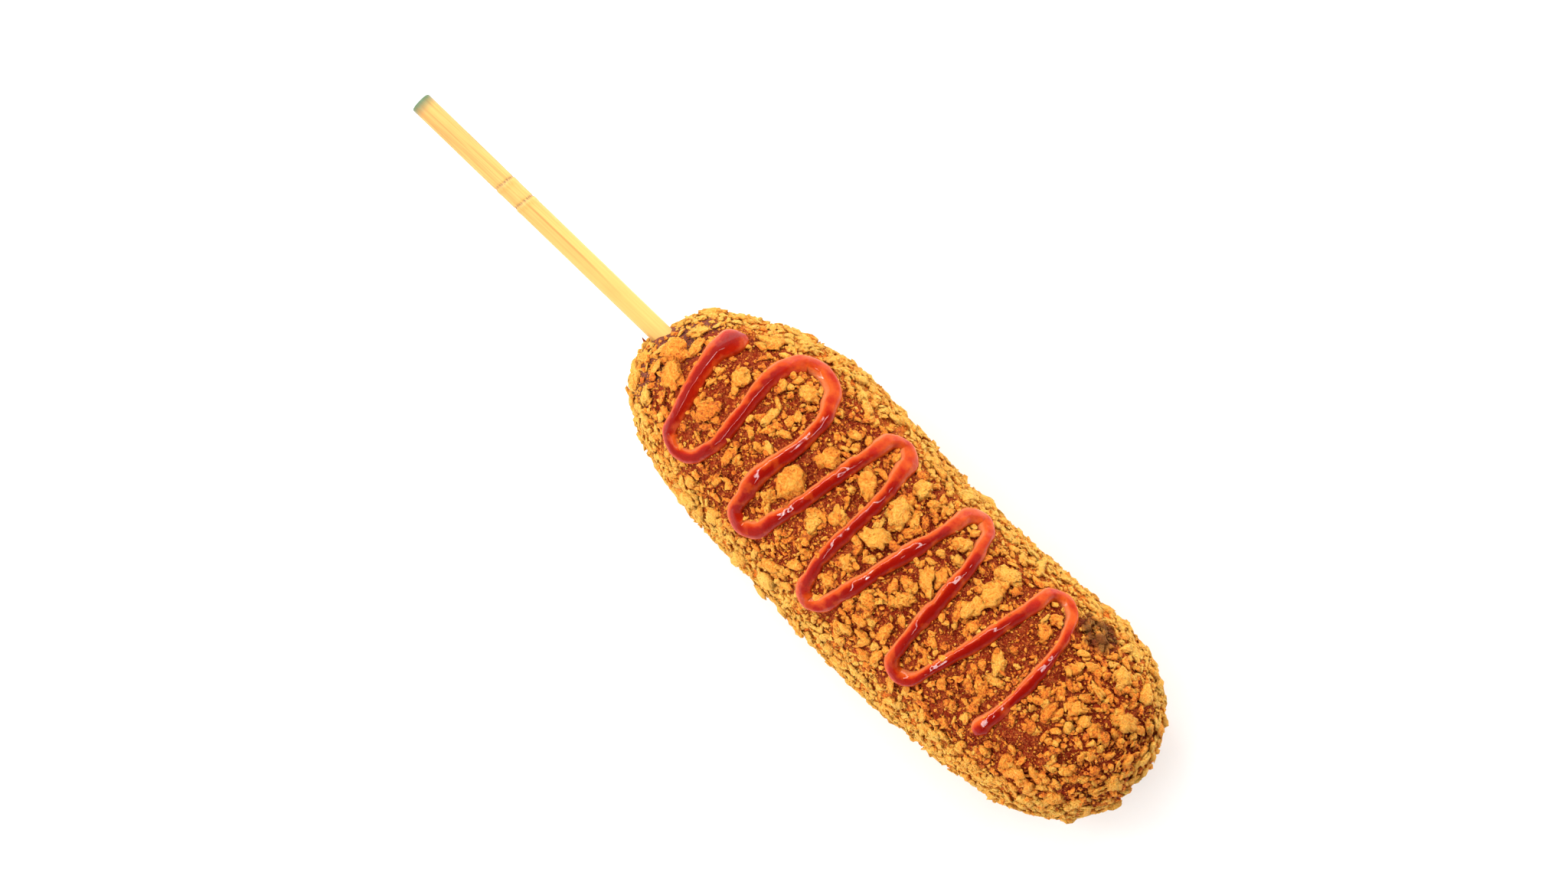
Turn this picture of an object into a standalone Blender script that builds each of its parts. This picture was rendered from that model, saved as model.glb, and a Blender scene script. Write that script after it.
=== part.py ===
"""Crumbed corn dog with a zigzag of ketchup, on a bamboo stick, lying on its side.

The food is one solid: a lumpy batter body with its largest breadcrumbs and the ketchup fused on, and a
blind hole that the stick runs into. The bamboo stick is the other solid. +X runs from the stick's free
end to the food's tip, +Y across it and +Z up. The origin is on the surface that the food lies on, under
the middle of the overall length. All lengths are in metres and all angles in radians.
"""

import math
import random

import bmesh
import bpy
import numpy as np
from mathutils import Matrix, Vector, noise

# The batter body under its crumbs, measured from its middle, which is at BODY_X
BODY_X = 0.03625
BODY_HALF_WIDTH = 0.0246
BODY_HALF_HEIGHT = 0.0234
BODY_Z = 0.0227
NEAR_END = -0.0732
NEAR_CAP = 0.0530
NEAR_BLUNTNESS = 2.5
FAR_END = 0.0738
FAR_CAP = 0.0400
FAR_BLUNTNESS = 3.1
SWAY = 0.0011
SWAY_LENGTH = 0.096
SWAY_CREST = -0.034
SWELL = 0.009
SWELL_LENGTH = 0.047
SWELL_TWIST_LENGTH = 0.083

# The grid that the body's surface is made on, and the crags that stand out of it
SIDES = 36
RINGS = 45
CRAG_HEIGHT = 0.0009
CRAG_SPACING = 0.0047
UNDERSIDE_CRAGS = 0.25

# The largest breadcrumbs
CRUMBS = 210
CRUMB_SEED = 11
CRUMB_CORNERS = 9
CRUMB_LENGTH = 0.0042
CRUMB_LENGTH_SPREAD = 0.0034
CRUMB_WIDTH_SHARE = 0.72
CRUMB_THICKNESS_SHARE = 0.42
CRUMB_LEAN = 0.28
CRUMB_CLEAR_OF_KETCHUP = 0.0004
CRUMB_CLEAR_OF_STICK = 0.0035
BARE_TOP_SHARE = 0.10

# The stick
STICK_WIDTH = 0.0050
STICK_FREE_END = -0.1109
STICK_LENGTH = 0.180
STICK_YAW = -0.0105
STICK_Y_AT_BODY = 0.0007
STICK_Z = 0.0240
STICK_SIDES = 24
STICK_SQUARENESS = 2.4
STICK_CHAMFER = 0.0005
NODE_GROOVES = (0.0263, 0.0324)
NODE_GROOVE_DEPTH = 0.00018
NODE_GROOVE_HALF_WIDTH = 0.00035
STICK_GAP = 0.0003

# A thin drip of batter that stands out beside the stick
DRIP_BASE = (-0.0712, -0.0036, 0.0014)
DRIP_TIP = (-0.0748, -0.0033, 0.0024)
DRIP_RADIUS = 0.0009

# The ketchup. Each turn is its outermost point and its reach to both sides, seen from above
KETCHUP_START = (-0.0585, 0.0118)
KETCHUP_END = (0.0386, -0.0148)
KETCHUP_TURNS = (
    (-0.0517, -0.0143, 0.0048, 0.0051),
    (-0.0402, 0.0193, 0.0060, 0.0071),
    (-0.0304, -0.0165, 0.0036, 0.0048),
    (-0.0156, 0.0199, 0.0040, 0.0034),
    (-0.0078, -0.0188, 0.0038, 0.0038),
    (0.0081, 0.0198, 0.0041, 0.0037),
    (0.0172, -0.0171, 0.0034, 0.0045),
    (0.0333, 0.0198, 0.0042, 0.0050),
)
KETCHUP_ARM = 0.0052
KETCHUP_SHOULDER = 0.0014
KETCHUP_SHOULDER_REACH = 0.74
KETCHUP_HALF_WIDTH = 0.0023
KETCHUP_HEIGHT = 0.0017
KETCHUP_SUNK = 0.0012
KETCHUP_START_BLOB = 0.30
KETCHUP_END_BLOB = 0.40
KETCHUP_TIP = 0.0013
KETCHUP_STEP = 0.0032
KETCHUP_SIDES = 8

GOLDEN_ANGLE = math.pi * (3.0 - math.sqrt(5.0))
CUTTER_SIZE = (0.4, 0.2, 0.05)


def clear_scene():
    for obj in list(bpy.data.objects):
        bpy.data.objects.remove(obj, do_unlink=True)


def finish(name, colour, roughness):
    """A plain material of one colour, given as linear red, green and blue."""
    material = bpy.data.materials.new(name)
    material.use_nodes = True
    shader = material.node_tree.nodes["Principled BSDF"]
    shader.inputs["Base Color"].default_value = (*colour, 1.0)
    shader.inputs["Roughness"].default_value = roughness
    shader.inputs["Metallic"].default_value = 0.0
    material.diffuse_color = (*colour, 1.0)
    return material


def object_of(name, mesh, material, collection=None):
    obj = bpy.data.objects.new(name, mesh)
    mesh.materials.append(material)
    (collection or bpy.context.scene.collection).objects.link(obj)
    return obj


def closed_grid(name, rings, first_pole=None, last_pole=None):
    """A closed mesh from rings of points. Each end closes on a pole, or with one flat face."""
    mesh = bmesh.new()
    rows = [[mesh.verts.new(point) for point in ring] for ring in rings]
    count = len(rows[0])
    for lower, upper in zip(rows, rows[1:]):
        for i in range(count):
            j = (i + 1) % count
            mesh.faces.new((lower[i], lower[j], upper[j], upper[i]))
    for row, pole in ((rows[0], first_pole), (rows[-1], last_pole)):
        if pole is None:
            mesh.faces.new(row)
            continue
        tip = mesh.verts.new(pole)
        for i in range(count):
            mesh.faces.new((row[i], row[(i + 1) % count], tip))
    bmesh.ops.triangulate(mesh, faces=mesh.faces)
    bmesh.ops.recalc_face_normals(mesh, faces=mesh.faces)
    data = bpy.data.meshes.new(name)
    mesh.to_mesh(data)
    mesh.free()
    return data


def girth(x):
    """The share of its full girth that the body has at a distance x from its middle."""
    if x < NEAR_END + NEAR_CAP:
        into_cap = (NEAR_END + NEAR_CAP - x) / NEAR_CAP
        return math.sqrt(max(0.0, 1.0 - into_cap**NEAR_BLUNTNESS))
    if x > FAR_END - FAR_CAP:
        into_cap = (x - FAR_END + FAR_CAP) / FAR_CAP
        return math.sqrt(max(0.0, 1.0 - into_cap**FAR_BLUNTNESS))
    return 1.0


def middle_line(x):
    """How far the body's middle line sways to +Y at x."""
    return SWAY * math.cos(2.0 * math.pi * (x - SWAY_CREST) / SWAY_LENGTH)


def swelling(x, angle):
    """The slow rise and fall of the fried batter, as a factor on the girth."""
    along = math.sin(2.0 * math.pi * x / SWELL_LENGTH + 1.3 * math.cos(angle))
    around = math.sin(3.0 * angle + 2.0 * math.pi * x / SWELL_TWIST_LENGTH)
    return 1.0 + SWELL * (0.6 * along + 0.4 * around)


def body_point(x, angle, proud=0.0):
    """A point of the body: x from its middle, angle from straight up towards +Y."""
    grown = girth(x) * swelling(x, angle)
    y = middle_line(x) + (BODY_HALF_WIDTH * grown + proud) * math.sin(angle)
    z = BODY_Z + (BODY_HALF_HEIGHT * grown + proud) * math.cos(angle)
    return Vector((BODY_X + x, y, z))


def body_normal(x, angle):
    """The outward direction at a point of the body, from two short steps over its surface."""
    step = 0.0004
    low, high = max(x - step, NEAR_END), min(x + step, FAR_END)
    along = body_point(high, angle) - body_point(low, angle)
    around = body_point(x, angle + 0.02) - body_point(x, angle - 0.02)
    return along.cross(around).normalized() if around.length > 0.0 else Vector((1.0, 0.0, 0.0))


def angle_above(x, y):
    """The angle of the body's point that lies under (x, y) when seen from above."""
    reach = (y - middle_line(x)) / (BODY_HALF_WIDTH * girth(x))
    return math.asin(max(-1.0, min(1.0, reach)))


def stations(count, by_area=False):
    """Places along the body, clear of both tips: evenly spaced along its outline, or over its area."""
    xs = np.linspace(NEAR_END, FAR_END, 4001)
    radii = BODY_HALF_WIDTH * np.array([girth(x) for x in xs])
    steps = np.hypot(np.diff(xs), np.diff(radii))
    if by_area:
        steps *= 0.5 * (radii[1:] + radii[:-1])
    walked = np.concatenate(([0.0], np.cumsum(steps)))
    wanted = np.linspace(0.0, walked[-1], count + 2)[1:-1]
    return np.interp(wanted, walked, xs)


def batter_body(material):
    """The body with crags of about the breadcrumbs' size, from rings of points round its length."""
    rings = []
    for row, x in enumerate(stations(RINGS)):
        ring = []
        for i in range(SIDES):
            angle = 2.0 * math.pi * (i + 0.5 * (row % 2)) / SIDES
            plain = body_point(x, angle)
            crag = noise.noise(plain / CRAG_SPACING) + 0.6 * noise.noise(plain / CRAG_SPACING * 2.3)
            crag *= min(1.0, UNDERSIDE_CRAGS + 1.0 + math.cos(angle))
            ring.append(body_point(x, angle, CRAG_HEIGHT * crag))
        rings.append(ring)
    near_tip = Vector((BODY_X + NEAR_END, middle_line(NEAR_END), BODY_Z))
    far_tip = Vector((BODY_X + FAR_END, middle_line(FAR_END), BODY_Z))
    return object_of("food", closed_grid("food", rings, near_tip, far_tip), material)


def smooth_path(points, step):
    """Points about one step apart on a curve through the given points, with no overshoot at the turns.

    Between two of them it is the cubic that meets both with their slopes. A point's slope is that of the
    parabola through it and its two neighbours, by the straight distances between them.
    """
    gaps = [(end - start).length for start, end in zip(points, points[1:])]
    rises = [(end - start) / gap for start, end, gap in zip(points, points[1:], gaps)]
    slopes = [rises[0]]
    for before, after, reach, gap in zip(rises, rises[1:], gaps, gaps[1:]):
        slopes.append((before * gap + after * reach) / (gap + reach))
    slopes.append(rises[-1])
    path = []
    for start, end, leave, arrive, gap in zip(points, points[1:], slopes, slopes[1:], gaps):
        steps = max(1, round(gap / step))
        for i in range(steps):
            t = i / steps
            held = (1.0 + 2.0 * t) * (1.0 - t) ** 2 * start + t**2 * (3.0 - 2.0 * t) * end
            path.append(held + gap * (t * (1.0 - t) ** 2 * leave - t**2 * (1.0 - t) * arrive))
    return [*path, points[-1]]


def ketchup_line():
    """The ketchup's middle line seen from above: down one arm of each loop, round it and up the other."""
    points = [Vector(KETCHUP_START)]
    for x, y, left, right in KETCHUP_TURNS:
        arm = y - math.copysign(KETCHUP_ARM, y)
        shoulder = y - math.copysign(KETCHUP_SHOULDER, y)
        points.append(Vector((x - left, arm)))
        points.append(Vector((x - KETCHUP_SHOULDER_REACH * left, shoulder)))
        points.append(Vector((x, y)))
        points.append(Vector((x + KETCHUP_SHOULDER_REACH * right, shoulder)))
        points.append(Vector((x + right, arm)))
    points.append(Vector(KETCHUP_END))
    return smooth_path(points, KETCHUP_STEP)


def ketchup_width(share):
    """The ribbon's width factor at a share of its length: a blob at each end, and slow thick and thin."""
    start_blob = KETCHUP_START_BLOB * math.exp(-((share / 0.014) ** 2))
    end_blob = KETCHUP_END_BLOB * math.exp(-(((1.0 - share) / 0.012) ** 2))
    flow = 1.0 + 0.10 * math.sin(46.0 * share) + 0.07 * math.sin(113.0 * share + 1.0)
    return flow * (1.0 - 0.20 * share) + start_blob + end_blob


def ketchup_ribbon(material, collection):
    """A low dome carried along the ketchup's line over the body, and sunk a little into it."""
    line = ketchup_line()
    places = []
    for x, y in line:
        angle = angle_above(x, y)
        places.append((body_point(x, angle), body_normal(x, angle)))
    rings = []
    last = len(places) - 1
    for i, (place, normal) in enumerate(places):
        before, after = places[max(i - 1, 0)][0], places[min(i + 1, last)][0]
        side = (after - before).cross(normal).normalized()
        width = ketchup_width(i / last) * (0.72 if i in (0, last) else 1.0)
        ring = []
        for k in range(KETCHUP_SIDES):
            turn = 2.0 * math.pi * (k + 0.5) / KETCHUP_SIDES
            rise = KETCHUP_HEIGHT if math.sin(turn) > 0.0 else KETCHUP_SUNK
            across = KETCHUP_HALF_WIDTH * width * math.cos(turn)
            ring.append(place + across * side + rise * min(width, 1.0) * math.sin(turn) * normal)
        rings.append(ring)
    tips = []
    for end, inner in ((0, 1), (last, last - 1)):
        outwards = (places[end][0] - places[inner][0]).normalized()
        tips.append(places[end][0] + KETCHUP_TIP * outwards)
    return object_of("ketchup", closed_grid("ketchup", rings, *tips), material, collection)


def crumb_mesh(draw, length):
    """One breadcrumb: the hull of a few points drawn inside a long, flat ellipsoid."""
    mesh = bmesh.new()
    half = Vector((1.0, CRUMB_WIDTH_SHARE, CRUMB_THICKNESS_SHARE)) * (0.5 * length)
    for k in range(CRUMB_CORNERS):
        up = 1.0 - 2.0 * (k + 0.5) / CRUMB_CORNERS
        turn = k * GOLDEN_ANGLE + draw.uniform(-0.5, 0.5)
        reach = draw.uniform(0.75, 1.12)
        out = math.sqrt(1.0 - up * up)
        corner = Vector((out * math.cos(turn) * half.x, out * math.sin(turn) * half.y, up * half.z))
        mesh.verts.new(corner * reach)
    hull = bmesh.ops.convex_hull(mesh, input=mesh.verts)
    loose = [item for item in hull["geom_interior"] if isinstance(item, bmesh.types.BMVert)]
    bmesh.ops.delete(mesh, geom=loose, context="VERTS")
    bmesh.ops.recalc_face_normals(mesh, faces=mesh.faces)
    data = bpy.data.meshes.new("crumb")
    mesh.to_mesh(data)
    mesh.free()
    return data


def stick_y(x):
    """The stick's middle line at a distance x from the body's middle."""
    return STICK_Y_AT_BODY + x * math.tan(STICK_YAW)


def crumb_places(draw):
    """Places for the crumbs, spread evenly by a golden-angle spiral, with a few left out on top."""
    line = ketchup_line()
    along = stations(CRUMBS, by_area=True)
    for i in range(CRUMBS):
        size = (i * 0.61803) % 1.0
        length = CRUMB_LENGTH + CRUMB_LENGTH_SPREAD * size
        x = along[i] + draw.uniform(-0.001, 0.001)
        x = max(NEAR_END + 0.0012, min(FAR_END - 0.0012, x))
        angle = (i * GOLDEN_ANGLE) % (2.0 * math.pi) + draw.uniform(-0.05, 0.05)
        on_top = math.cos(angle) > 0.55
        if on_top and draw.random() < BARE_TOP_SHARE:
            continue
        place = body_point(x, angle)
        from_above = Vector((x, place.y))
        keep_off = KETCHUP_HALF_WIDTH + 0.5 * length + CRUMB_CLEAR_OF_KETCHUP
        if math.cos(angle) > 0.0 and min((from_above - p).length for p in line) < keep_off:
            continue
        to_stick = Vector((place.y - stick_y(x), place.z - STICK_Z)).length
        if x < 0.0 and to_stick < CRUMB_CLEAR_OF_STICK + 0.5 * length:
            continue
        yield x, angle, place, length


def add_crumbs(material, collection):
    draw = random.Random(CRUMB_SEED)
    for x, angle, place, length in crumb_places(draw):
        normal = body_normal(x, angle)
        lean = Matrix.Rotation(draw.gauss(0.0, CRUMB_LEAN), 4, "X")
        spin = Matrix.Rotation(draw.uniform(0.0, 2.0 * math.pi), 4, "Z")
        upright = normal.to_track_quat("Z", "Y").to_matrix().to_4x4()
        crumb = object_of("crumb", crumb_mesh(draw, length), material, collection)
        crumb.matrix_world = Matrix.Translation(place) @ upright @ spin @ lean


def drip_of_batter(material, collection):
    """A thin, slightly bent cone from the body's end to its tip beside the stick."""
    base = Vector((BODY_X, stick_y(NEAR_END), STICK_Z)) + Vector(DRIP_BASE)
    tip = Vector((BODY_X, stick_y(NEAR_END), STICK_Z)) + Vector(DRIP_TIP)
    root = base - (tip - base) * 0.35
    rings = []
    for share in (0.0, 0.45, 0.8):
        centre = root.lerp(tip, share) + Vector((0.0, -0.0004 * math.sin(math.pi * share), 0.0))
        radius = DRIP_RADIUS * (1.0 - share) ** 0.8
        turns = (2.0 * math.pi * k / 6 for k in range(6))
        rings.append([centre + radius * Vector((0.0, math.cos(a), math.sin(a))) for a in turns])
    return object_of("drip", closed_grid("drip", rings, None, tip), material, collection)


def stick_rings(extra):
    """The stick's rings along +X from its free end, grown outwards by extra for the hole it sits in."""
    half = 0.5 * STICK_WIDTH
    stops = [(-extra, half - STICK_CHAMFER), (STICK_CHAMFER - extra, half)]
    if not extra:
        for groove in NODE_GROOVES:
            for offset, depth in ((-1.0, 0.0), (0.0, NODE_GROOVE_DEPTH), (1.0, 0.0)):
                stops.append((groove + offset * NODE_GROOVE_HALF_WIDTH, half - depth))
    stops += [(STICK_LENGTH + extra - STICK_CHAMFER, half), (STICK_LENGTH + extra, half - STICK_CHAMFER)]
    rings = []
    for x, radius in stops:
        ring = []
        for k in range(STICK_SIDES):
            turn = 2.0 * math.pi * k / STICK_SIDES
            cos, sin = math.cos(turn), math.sin(turn)
            square = (abs(cos) ** STICK_SQUARENESS + abs(sin) ** STICK_SQUARENESS) ** (-1 / STICK_SQUARENESS)
            reach = (radius + extra) * square
            ring.append(Vector((x, reach * cos, reach * sin)))
        rings.append(ring)
    return rings


def place_stick(obj):
    """Lays the stick level at its height, turned a little, so that it passes the body's middle."""
    obj.location = (STICK_FREE_END, stick_y(STICK_FREE_END - BODY_X), STICK_Z)
    obj.rotation_euler = (0.0, 0.0, STICK_YAW)


def bamboo_stick(material):
    obj = object_of("bamboo_stick", closed_grid("bamboo_stick", stick_rings(0.0)), material)
    place_stick(obj)
    obj.data.shade_smooth()
    obj.data.set_sharp_from_angle(angle=math.radians(35.0))
    return obj


def boolean(obj, operation, operand, solver):
    """Applies one Boolean to an object, with another object or a whole collection."""
    modifier = obj.modifiers.new(operation.lower(), "BOOLEAN")
    modifier.operation = operation
    modifier.solver = solver
    if isinstance(operand, bpy.types.Collection):
        modifier.operand_type = "COLLECTION"
        modifier.collection = operand
    else:
        modifier.object = operand
    if solver == "EXACT":
        modifier.material_mode = "TRANSFER"
    bpy.context.view_layer.update()
    graph = bpy.context.evaluated_depsgraph_get()
    made = bpy.data.meshes.new_from_object(obj.evaluated_get(graph), depsgraph=graph)
    obj.modifiers.clear()
    obj.data = made


def keep_outer_shell(obj):
    """Drops loose scraps and fills sealed hollows: only the shell with the most faces stays."""
    mesh = bmesh.new()
    mesh.from_mesh(obj.data)
    bmesh.ops.triangulate(mesh, faces=mesh.faces)
    unseen = set(mesh.faces)
    shells = []
    while unseen:
        reached, shell = [unseen.pop()], []
        while reached:
            face = reached.pop()
            shell.append(face)
            beside = {other for edge in face.edges for other in edge.link_faces} & unseen
            unseen -= beside
            reached.extend(beside)
        shells.append(shell)
    shells.sort(key=len, reverse=True)
    loose = [face for shell in shells[1:] for face in shell]
    bmesh.ops.delete(mesh, geom=loose, context="FACES")
    mesh.to_mesh(obj.data)
    mesh.free()


def floor_cutter():
    """A block under the surface that the food lies on, so that the food gets its flat spot."""
    mesh = bmesh.new()
    bmesh.ops.create_cube(mesh, size=1.0)
    for vert in mesh.verts:
        vert.co = [size * share for size, share in zip(CUTTER_SIZE, vert.co)]
        vert.co.z -= 0.5 * CUTTER_SIZE[2]
    data = bpy.data.meshes.new("floor_cutter")
    mesh.to_mesh(data)
    mesh.free()
    cutter = bpy.data.objects.new("floor_cutter", data)
    bpy.context.scene.collection.objects.link(cutter)
    return cutter


def breaded_body():
    """The whole food: body, drip, ketchup and crumbs in one union, cut for the stick and the floor."""
    batter = finish("fried_batter", (0.20, 0.045, 0.015), 0.35)
    crumb = finish("breadcrumbs", (0.72, 0.36, 0.08), 0.85)
    ketchup = finish("ketchup", (0.42, 0.02, 0.006), 0.15)
    food = batter_body(batter)
    fused = bpy.data.collections.new("fused_to_body")
    bpy.context.scene.collection.children.link(fused)
    ketchup_ribbon(ketchup, fused)
    add_crumbs(crumb, fused)
    drip_of_batter(batter, fused)
    boolean(food, "UNION", fused, "EXACT")
    for obj in list(fused.objects):
        bpy.data.objects.remove(obj, do_unlink=True)
    bpy.data.collections.remove(fused)
    keep_outer_shell(food)
    hole = object_of("stick_hole", closed_grid("stick_hole", stick_rings(STICK_GAP)), batter)
    place_stick(hole)
    for cutter in (hole, floor_cutter()):
        boolean(food, "DIFFERENCE", cutter, "EXACT")
        bpy.data.objects.remove(cutter, do_unlink=True)
    keep_outer_shell(food)
    food.name = "breaded_body"
    food.data.name = "breaded_body"
    return food


def main():
    clear_scene()
    breaded_body()
    bamboo_stick(finish("bamboo", (0.85, 0.62, 0.24), 0.55))


main()
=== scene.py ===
"""The looks of a crumbed corn dog with ketchup on a bamboo stick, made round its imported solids.

Lengths are in metres. +X runs from the stick's free end to the food's tip, +Y across it and +Z up. Places
on the food are measured from the middle of its length, and angles go from straight up towards +Y.
"""

import math

import bpy
import numpy as np
from bpy.props import FloatProperty, FloatVectorProperty, IntProperty, PointerProperty
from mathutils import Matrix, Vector


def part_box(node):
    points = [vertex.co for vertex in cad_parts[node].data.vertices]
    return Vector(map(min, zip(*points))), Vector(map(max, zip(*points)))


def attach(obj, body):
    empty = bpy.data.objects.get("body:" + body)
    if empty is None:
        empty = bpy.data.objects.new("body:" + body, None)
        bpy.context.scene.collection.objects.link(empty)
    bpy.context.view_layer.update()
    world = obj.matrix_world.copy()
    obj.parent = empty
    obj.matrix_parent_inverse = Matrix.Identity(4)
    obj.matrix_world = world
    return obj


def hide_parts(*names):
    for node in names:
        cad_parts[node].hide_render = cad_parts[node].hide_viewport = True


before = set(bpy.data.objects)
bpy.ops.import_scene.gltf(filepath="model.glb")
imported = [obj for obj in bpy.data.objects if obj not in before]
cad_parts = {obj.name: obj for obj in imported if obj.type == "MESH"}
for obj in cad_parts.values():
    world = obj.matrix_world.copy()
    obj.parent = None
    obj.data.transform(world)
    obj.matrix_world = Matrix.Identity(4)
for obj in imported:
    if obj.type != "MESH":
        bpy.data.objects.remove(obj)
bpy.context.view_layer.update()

bl_info = {
    "name": "Corn Dog Looks",
    "version": (1, 0, 0),
    "blender": (4, 5, 0),
    "location": "3D View > Sidebar > Corn Dog",
    "description": "Fried batter, breadcrumbs, ketchup and a bamboo stick for a corn dog",
    "category": "Add Mesh",
}

MM = 0.001

# The batter body, as in the part's own source. Two slow waves swell it, one along it and one twisting round
BODY_X = 0.03625
HALF_WIDTH = 0.0246
HALF_HEIGHT = 0.0234
BODY_Z = 0.0227
NEAR_END = -0.0732
NEAR_CAP = 0.0530
NEAR_BLUNTNESS = 2.5
FAR_END = 0.0738
FAR_CAP = 0.0400
FAR_BLUNTNESS = 3.1
SWAY = 0.0011
SWAY_LENGTH = 0.096
SWAY_CREST = -0.034
SWELL = 0.009
SWELL_SHARES = (0.6, 0.4)
SWELL_LENGTH = 0.047
SWELL_LAG = 1.3
SWELL_TWIST_LENGTH = 0.083
SWELL_RIDGES = 3.0

# The shallow dent in the near end, beside and above the stick, and how far from that end it fades away
MOUTH_Y = 0.0028
MOUTH_Z = 0.0270
MOUTH_HALF_WIDTH = 0.0056
MOUTH_HALF_HEIGHT = 0.0070
MOUTH_DEPTH = 0.0020
MOUTH_FADE = (0.009, 0.003)

# The batter's own relief: each layer of crags with its size and share, the ring of batter round the stick and
# where along the food it fades, and how softly the underside meets the floor
BATTER_ROWS = 420
BATTER_SIDES = 224
CRAGS = ((0.0047, 1.0), (0.0021, 0.6), (0.0010, 0.35))
UNDERSIDE_CRAGS = 0.25
COLLAR_RADIUS = 0.0027
COLLAR_WIDTH = 0.0011
COLLAR_FADE = (-0.060, -0.068)
UNDERSIDE_SOFTNESS = 0.0003

# The thorn of batter beside the stick. Its ends are measured along the food from its middle, and to the side
# and upwards from the stick's line
DRIP_BASE = (-0.0705, -0.0033, 0.0010)
DRIP_TIP = (-0.0749, -0.0034, 0.0024)
DRIP_RADIUS = 0.0010
DRIP_BEND = 0.0005
DRIP_ROWS = 17
DRIP_SIDES = 14
DRIP_CHARRED = 0.35

# The stick, as in the part's own source
STICK_WIDTH = 0.0050
STICK_FREE_END = -0.1109
STICK_YAW = -0.0105
STICK_Y_AT_BODY = 0.0007
STICK_Z = 0.0240
STICK_SQUARENESS = 2.4
STICK_CHAMFER = 0.0005
NODE_GROOVES = (0.0263, 0.0324)

# The stick's relief: the size and height of each layer of fibres. A joint scar has its slant, the depth and
# width of its dip, the height and width of the bulge beside it, and how far off that bulge is
STICK_ROWS = 560
STICK_END_ROWS = 8
STICK_END = 0.0009
STICK_FINE_END = 0.0012
STICK_SIDES = 96
FIBRES = ((0.00035, 0.00004), (0.0009, 0.00003))
FIBRE_STRETCH = 40.0
SCAR_SLANT = 0.0003
SCAR_DIP = (0.00014, 0.00028)
SCAR_BULGE = (0.00010, 0.0007)
SCAR_BULGE_OFF = 0.0009

# Where the stick's colours change, from its free end: the darker outer part, the seam's two ends and the dye
OUTER_PART = (0.052, 0.018)
SEAM_FROM = (0.030, 0.036)
SEAM_TO = (0.064, 0.050)
DYED_END = (0.0032, 0.0004)

# The ketchup's line, as in the part's own source: each turn's outermost point and its reach to both sides.
# The head is where the sauce spread a little past the line's start
KETCHUP_START = (-0.0585, 0.0118)
KETCHUP_END = (0.0386, -0.0148)
KETCHUP_TURNS = (
    (-0.0517, -0.0143, 0.0048, 0.0051),
    (-0.0402, 0.0193, 0.0060, 0.0071),
    (-0.0304, -0.0165, 0.0036, 0.0048),
    (-0.0156, 0.0199, 0.0040, 0.0034),
    (-0.0078, -0.0188, 0.0038, 0.0038),
    (0.0081, 0.0198, 0.0041, 0.0037),
    (0.0172, -0.0171, 0.0034, 0.0045),
    (0.0333, 0.0198, 0.0042, 0.0050),
)
KETCHUP_HEAD = (-0.0577, 0.0139)
KETCHUP_ARM = 0.0052
KETCHUP_SHOULDER = 0.0014
KETCHUP_SHOULDER_REACH = 0.74

# The ribbon's form. Its width surges in waves (share, radians along the line, phase), swells in the bends and
# has a blob at each end (share, and reach as a share of the line). Its edges and skin have layers of noise,
# each with its size and share. Where it looks thinner, that share grows from the first y to the second
KETCHUP_STEP = 0.00028
KETCHUP_GUIDE_STEP = 0.0015
KETCHUP_SIDES = 40
KETCHUP_SURGES = ((0.10, 46.0, 0.0), (0.07, 113.0, 1.0))
KETCHUP_BENDS = (0.010, 0.018)
KETCHUP_BEND_SWELL = 0.20
KETCHUP_ARM_LOSS = 0.08
KETCHUP_TAPER = 0.30
KETCHUP_BLOBS = ((0.85, 0.019), (0.42, 0.012))
KETCHUP_END_ROUND = 1.1
KETCHUP_EDGES = ((0.0042, 0.20), (0.0015, 0.10))
KETCHUP_LUMPS = ((0.0036, 0.00015), (0.0013, 0.00006))
KETCHUP_RIDGE = 0.16
KETCHUP_RIDGE_AT = 0.25
KETCHUP_RIDGE_WIDTH = 0.30
KETCHUP_THINNED = ((0.45, 0.010, 0.017), (0.15, -0.012, -0.018))

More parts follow.
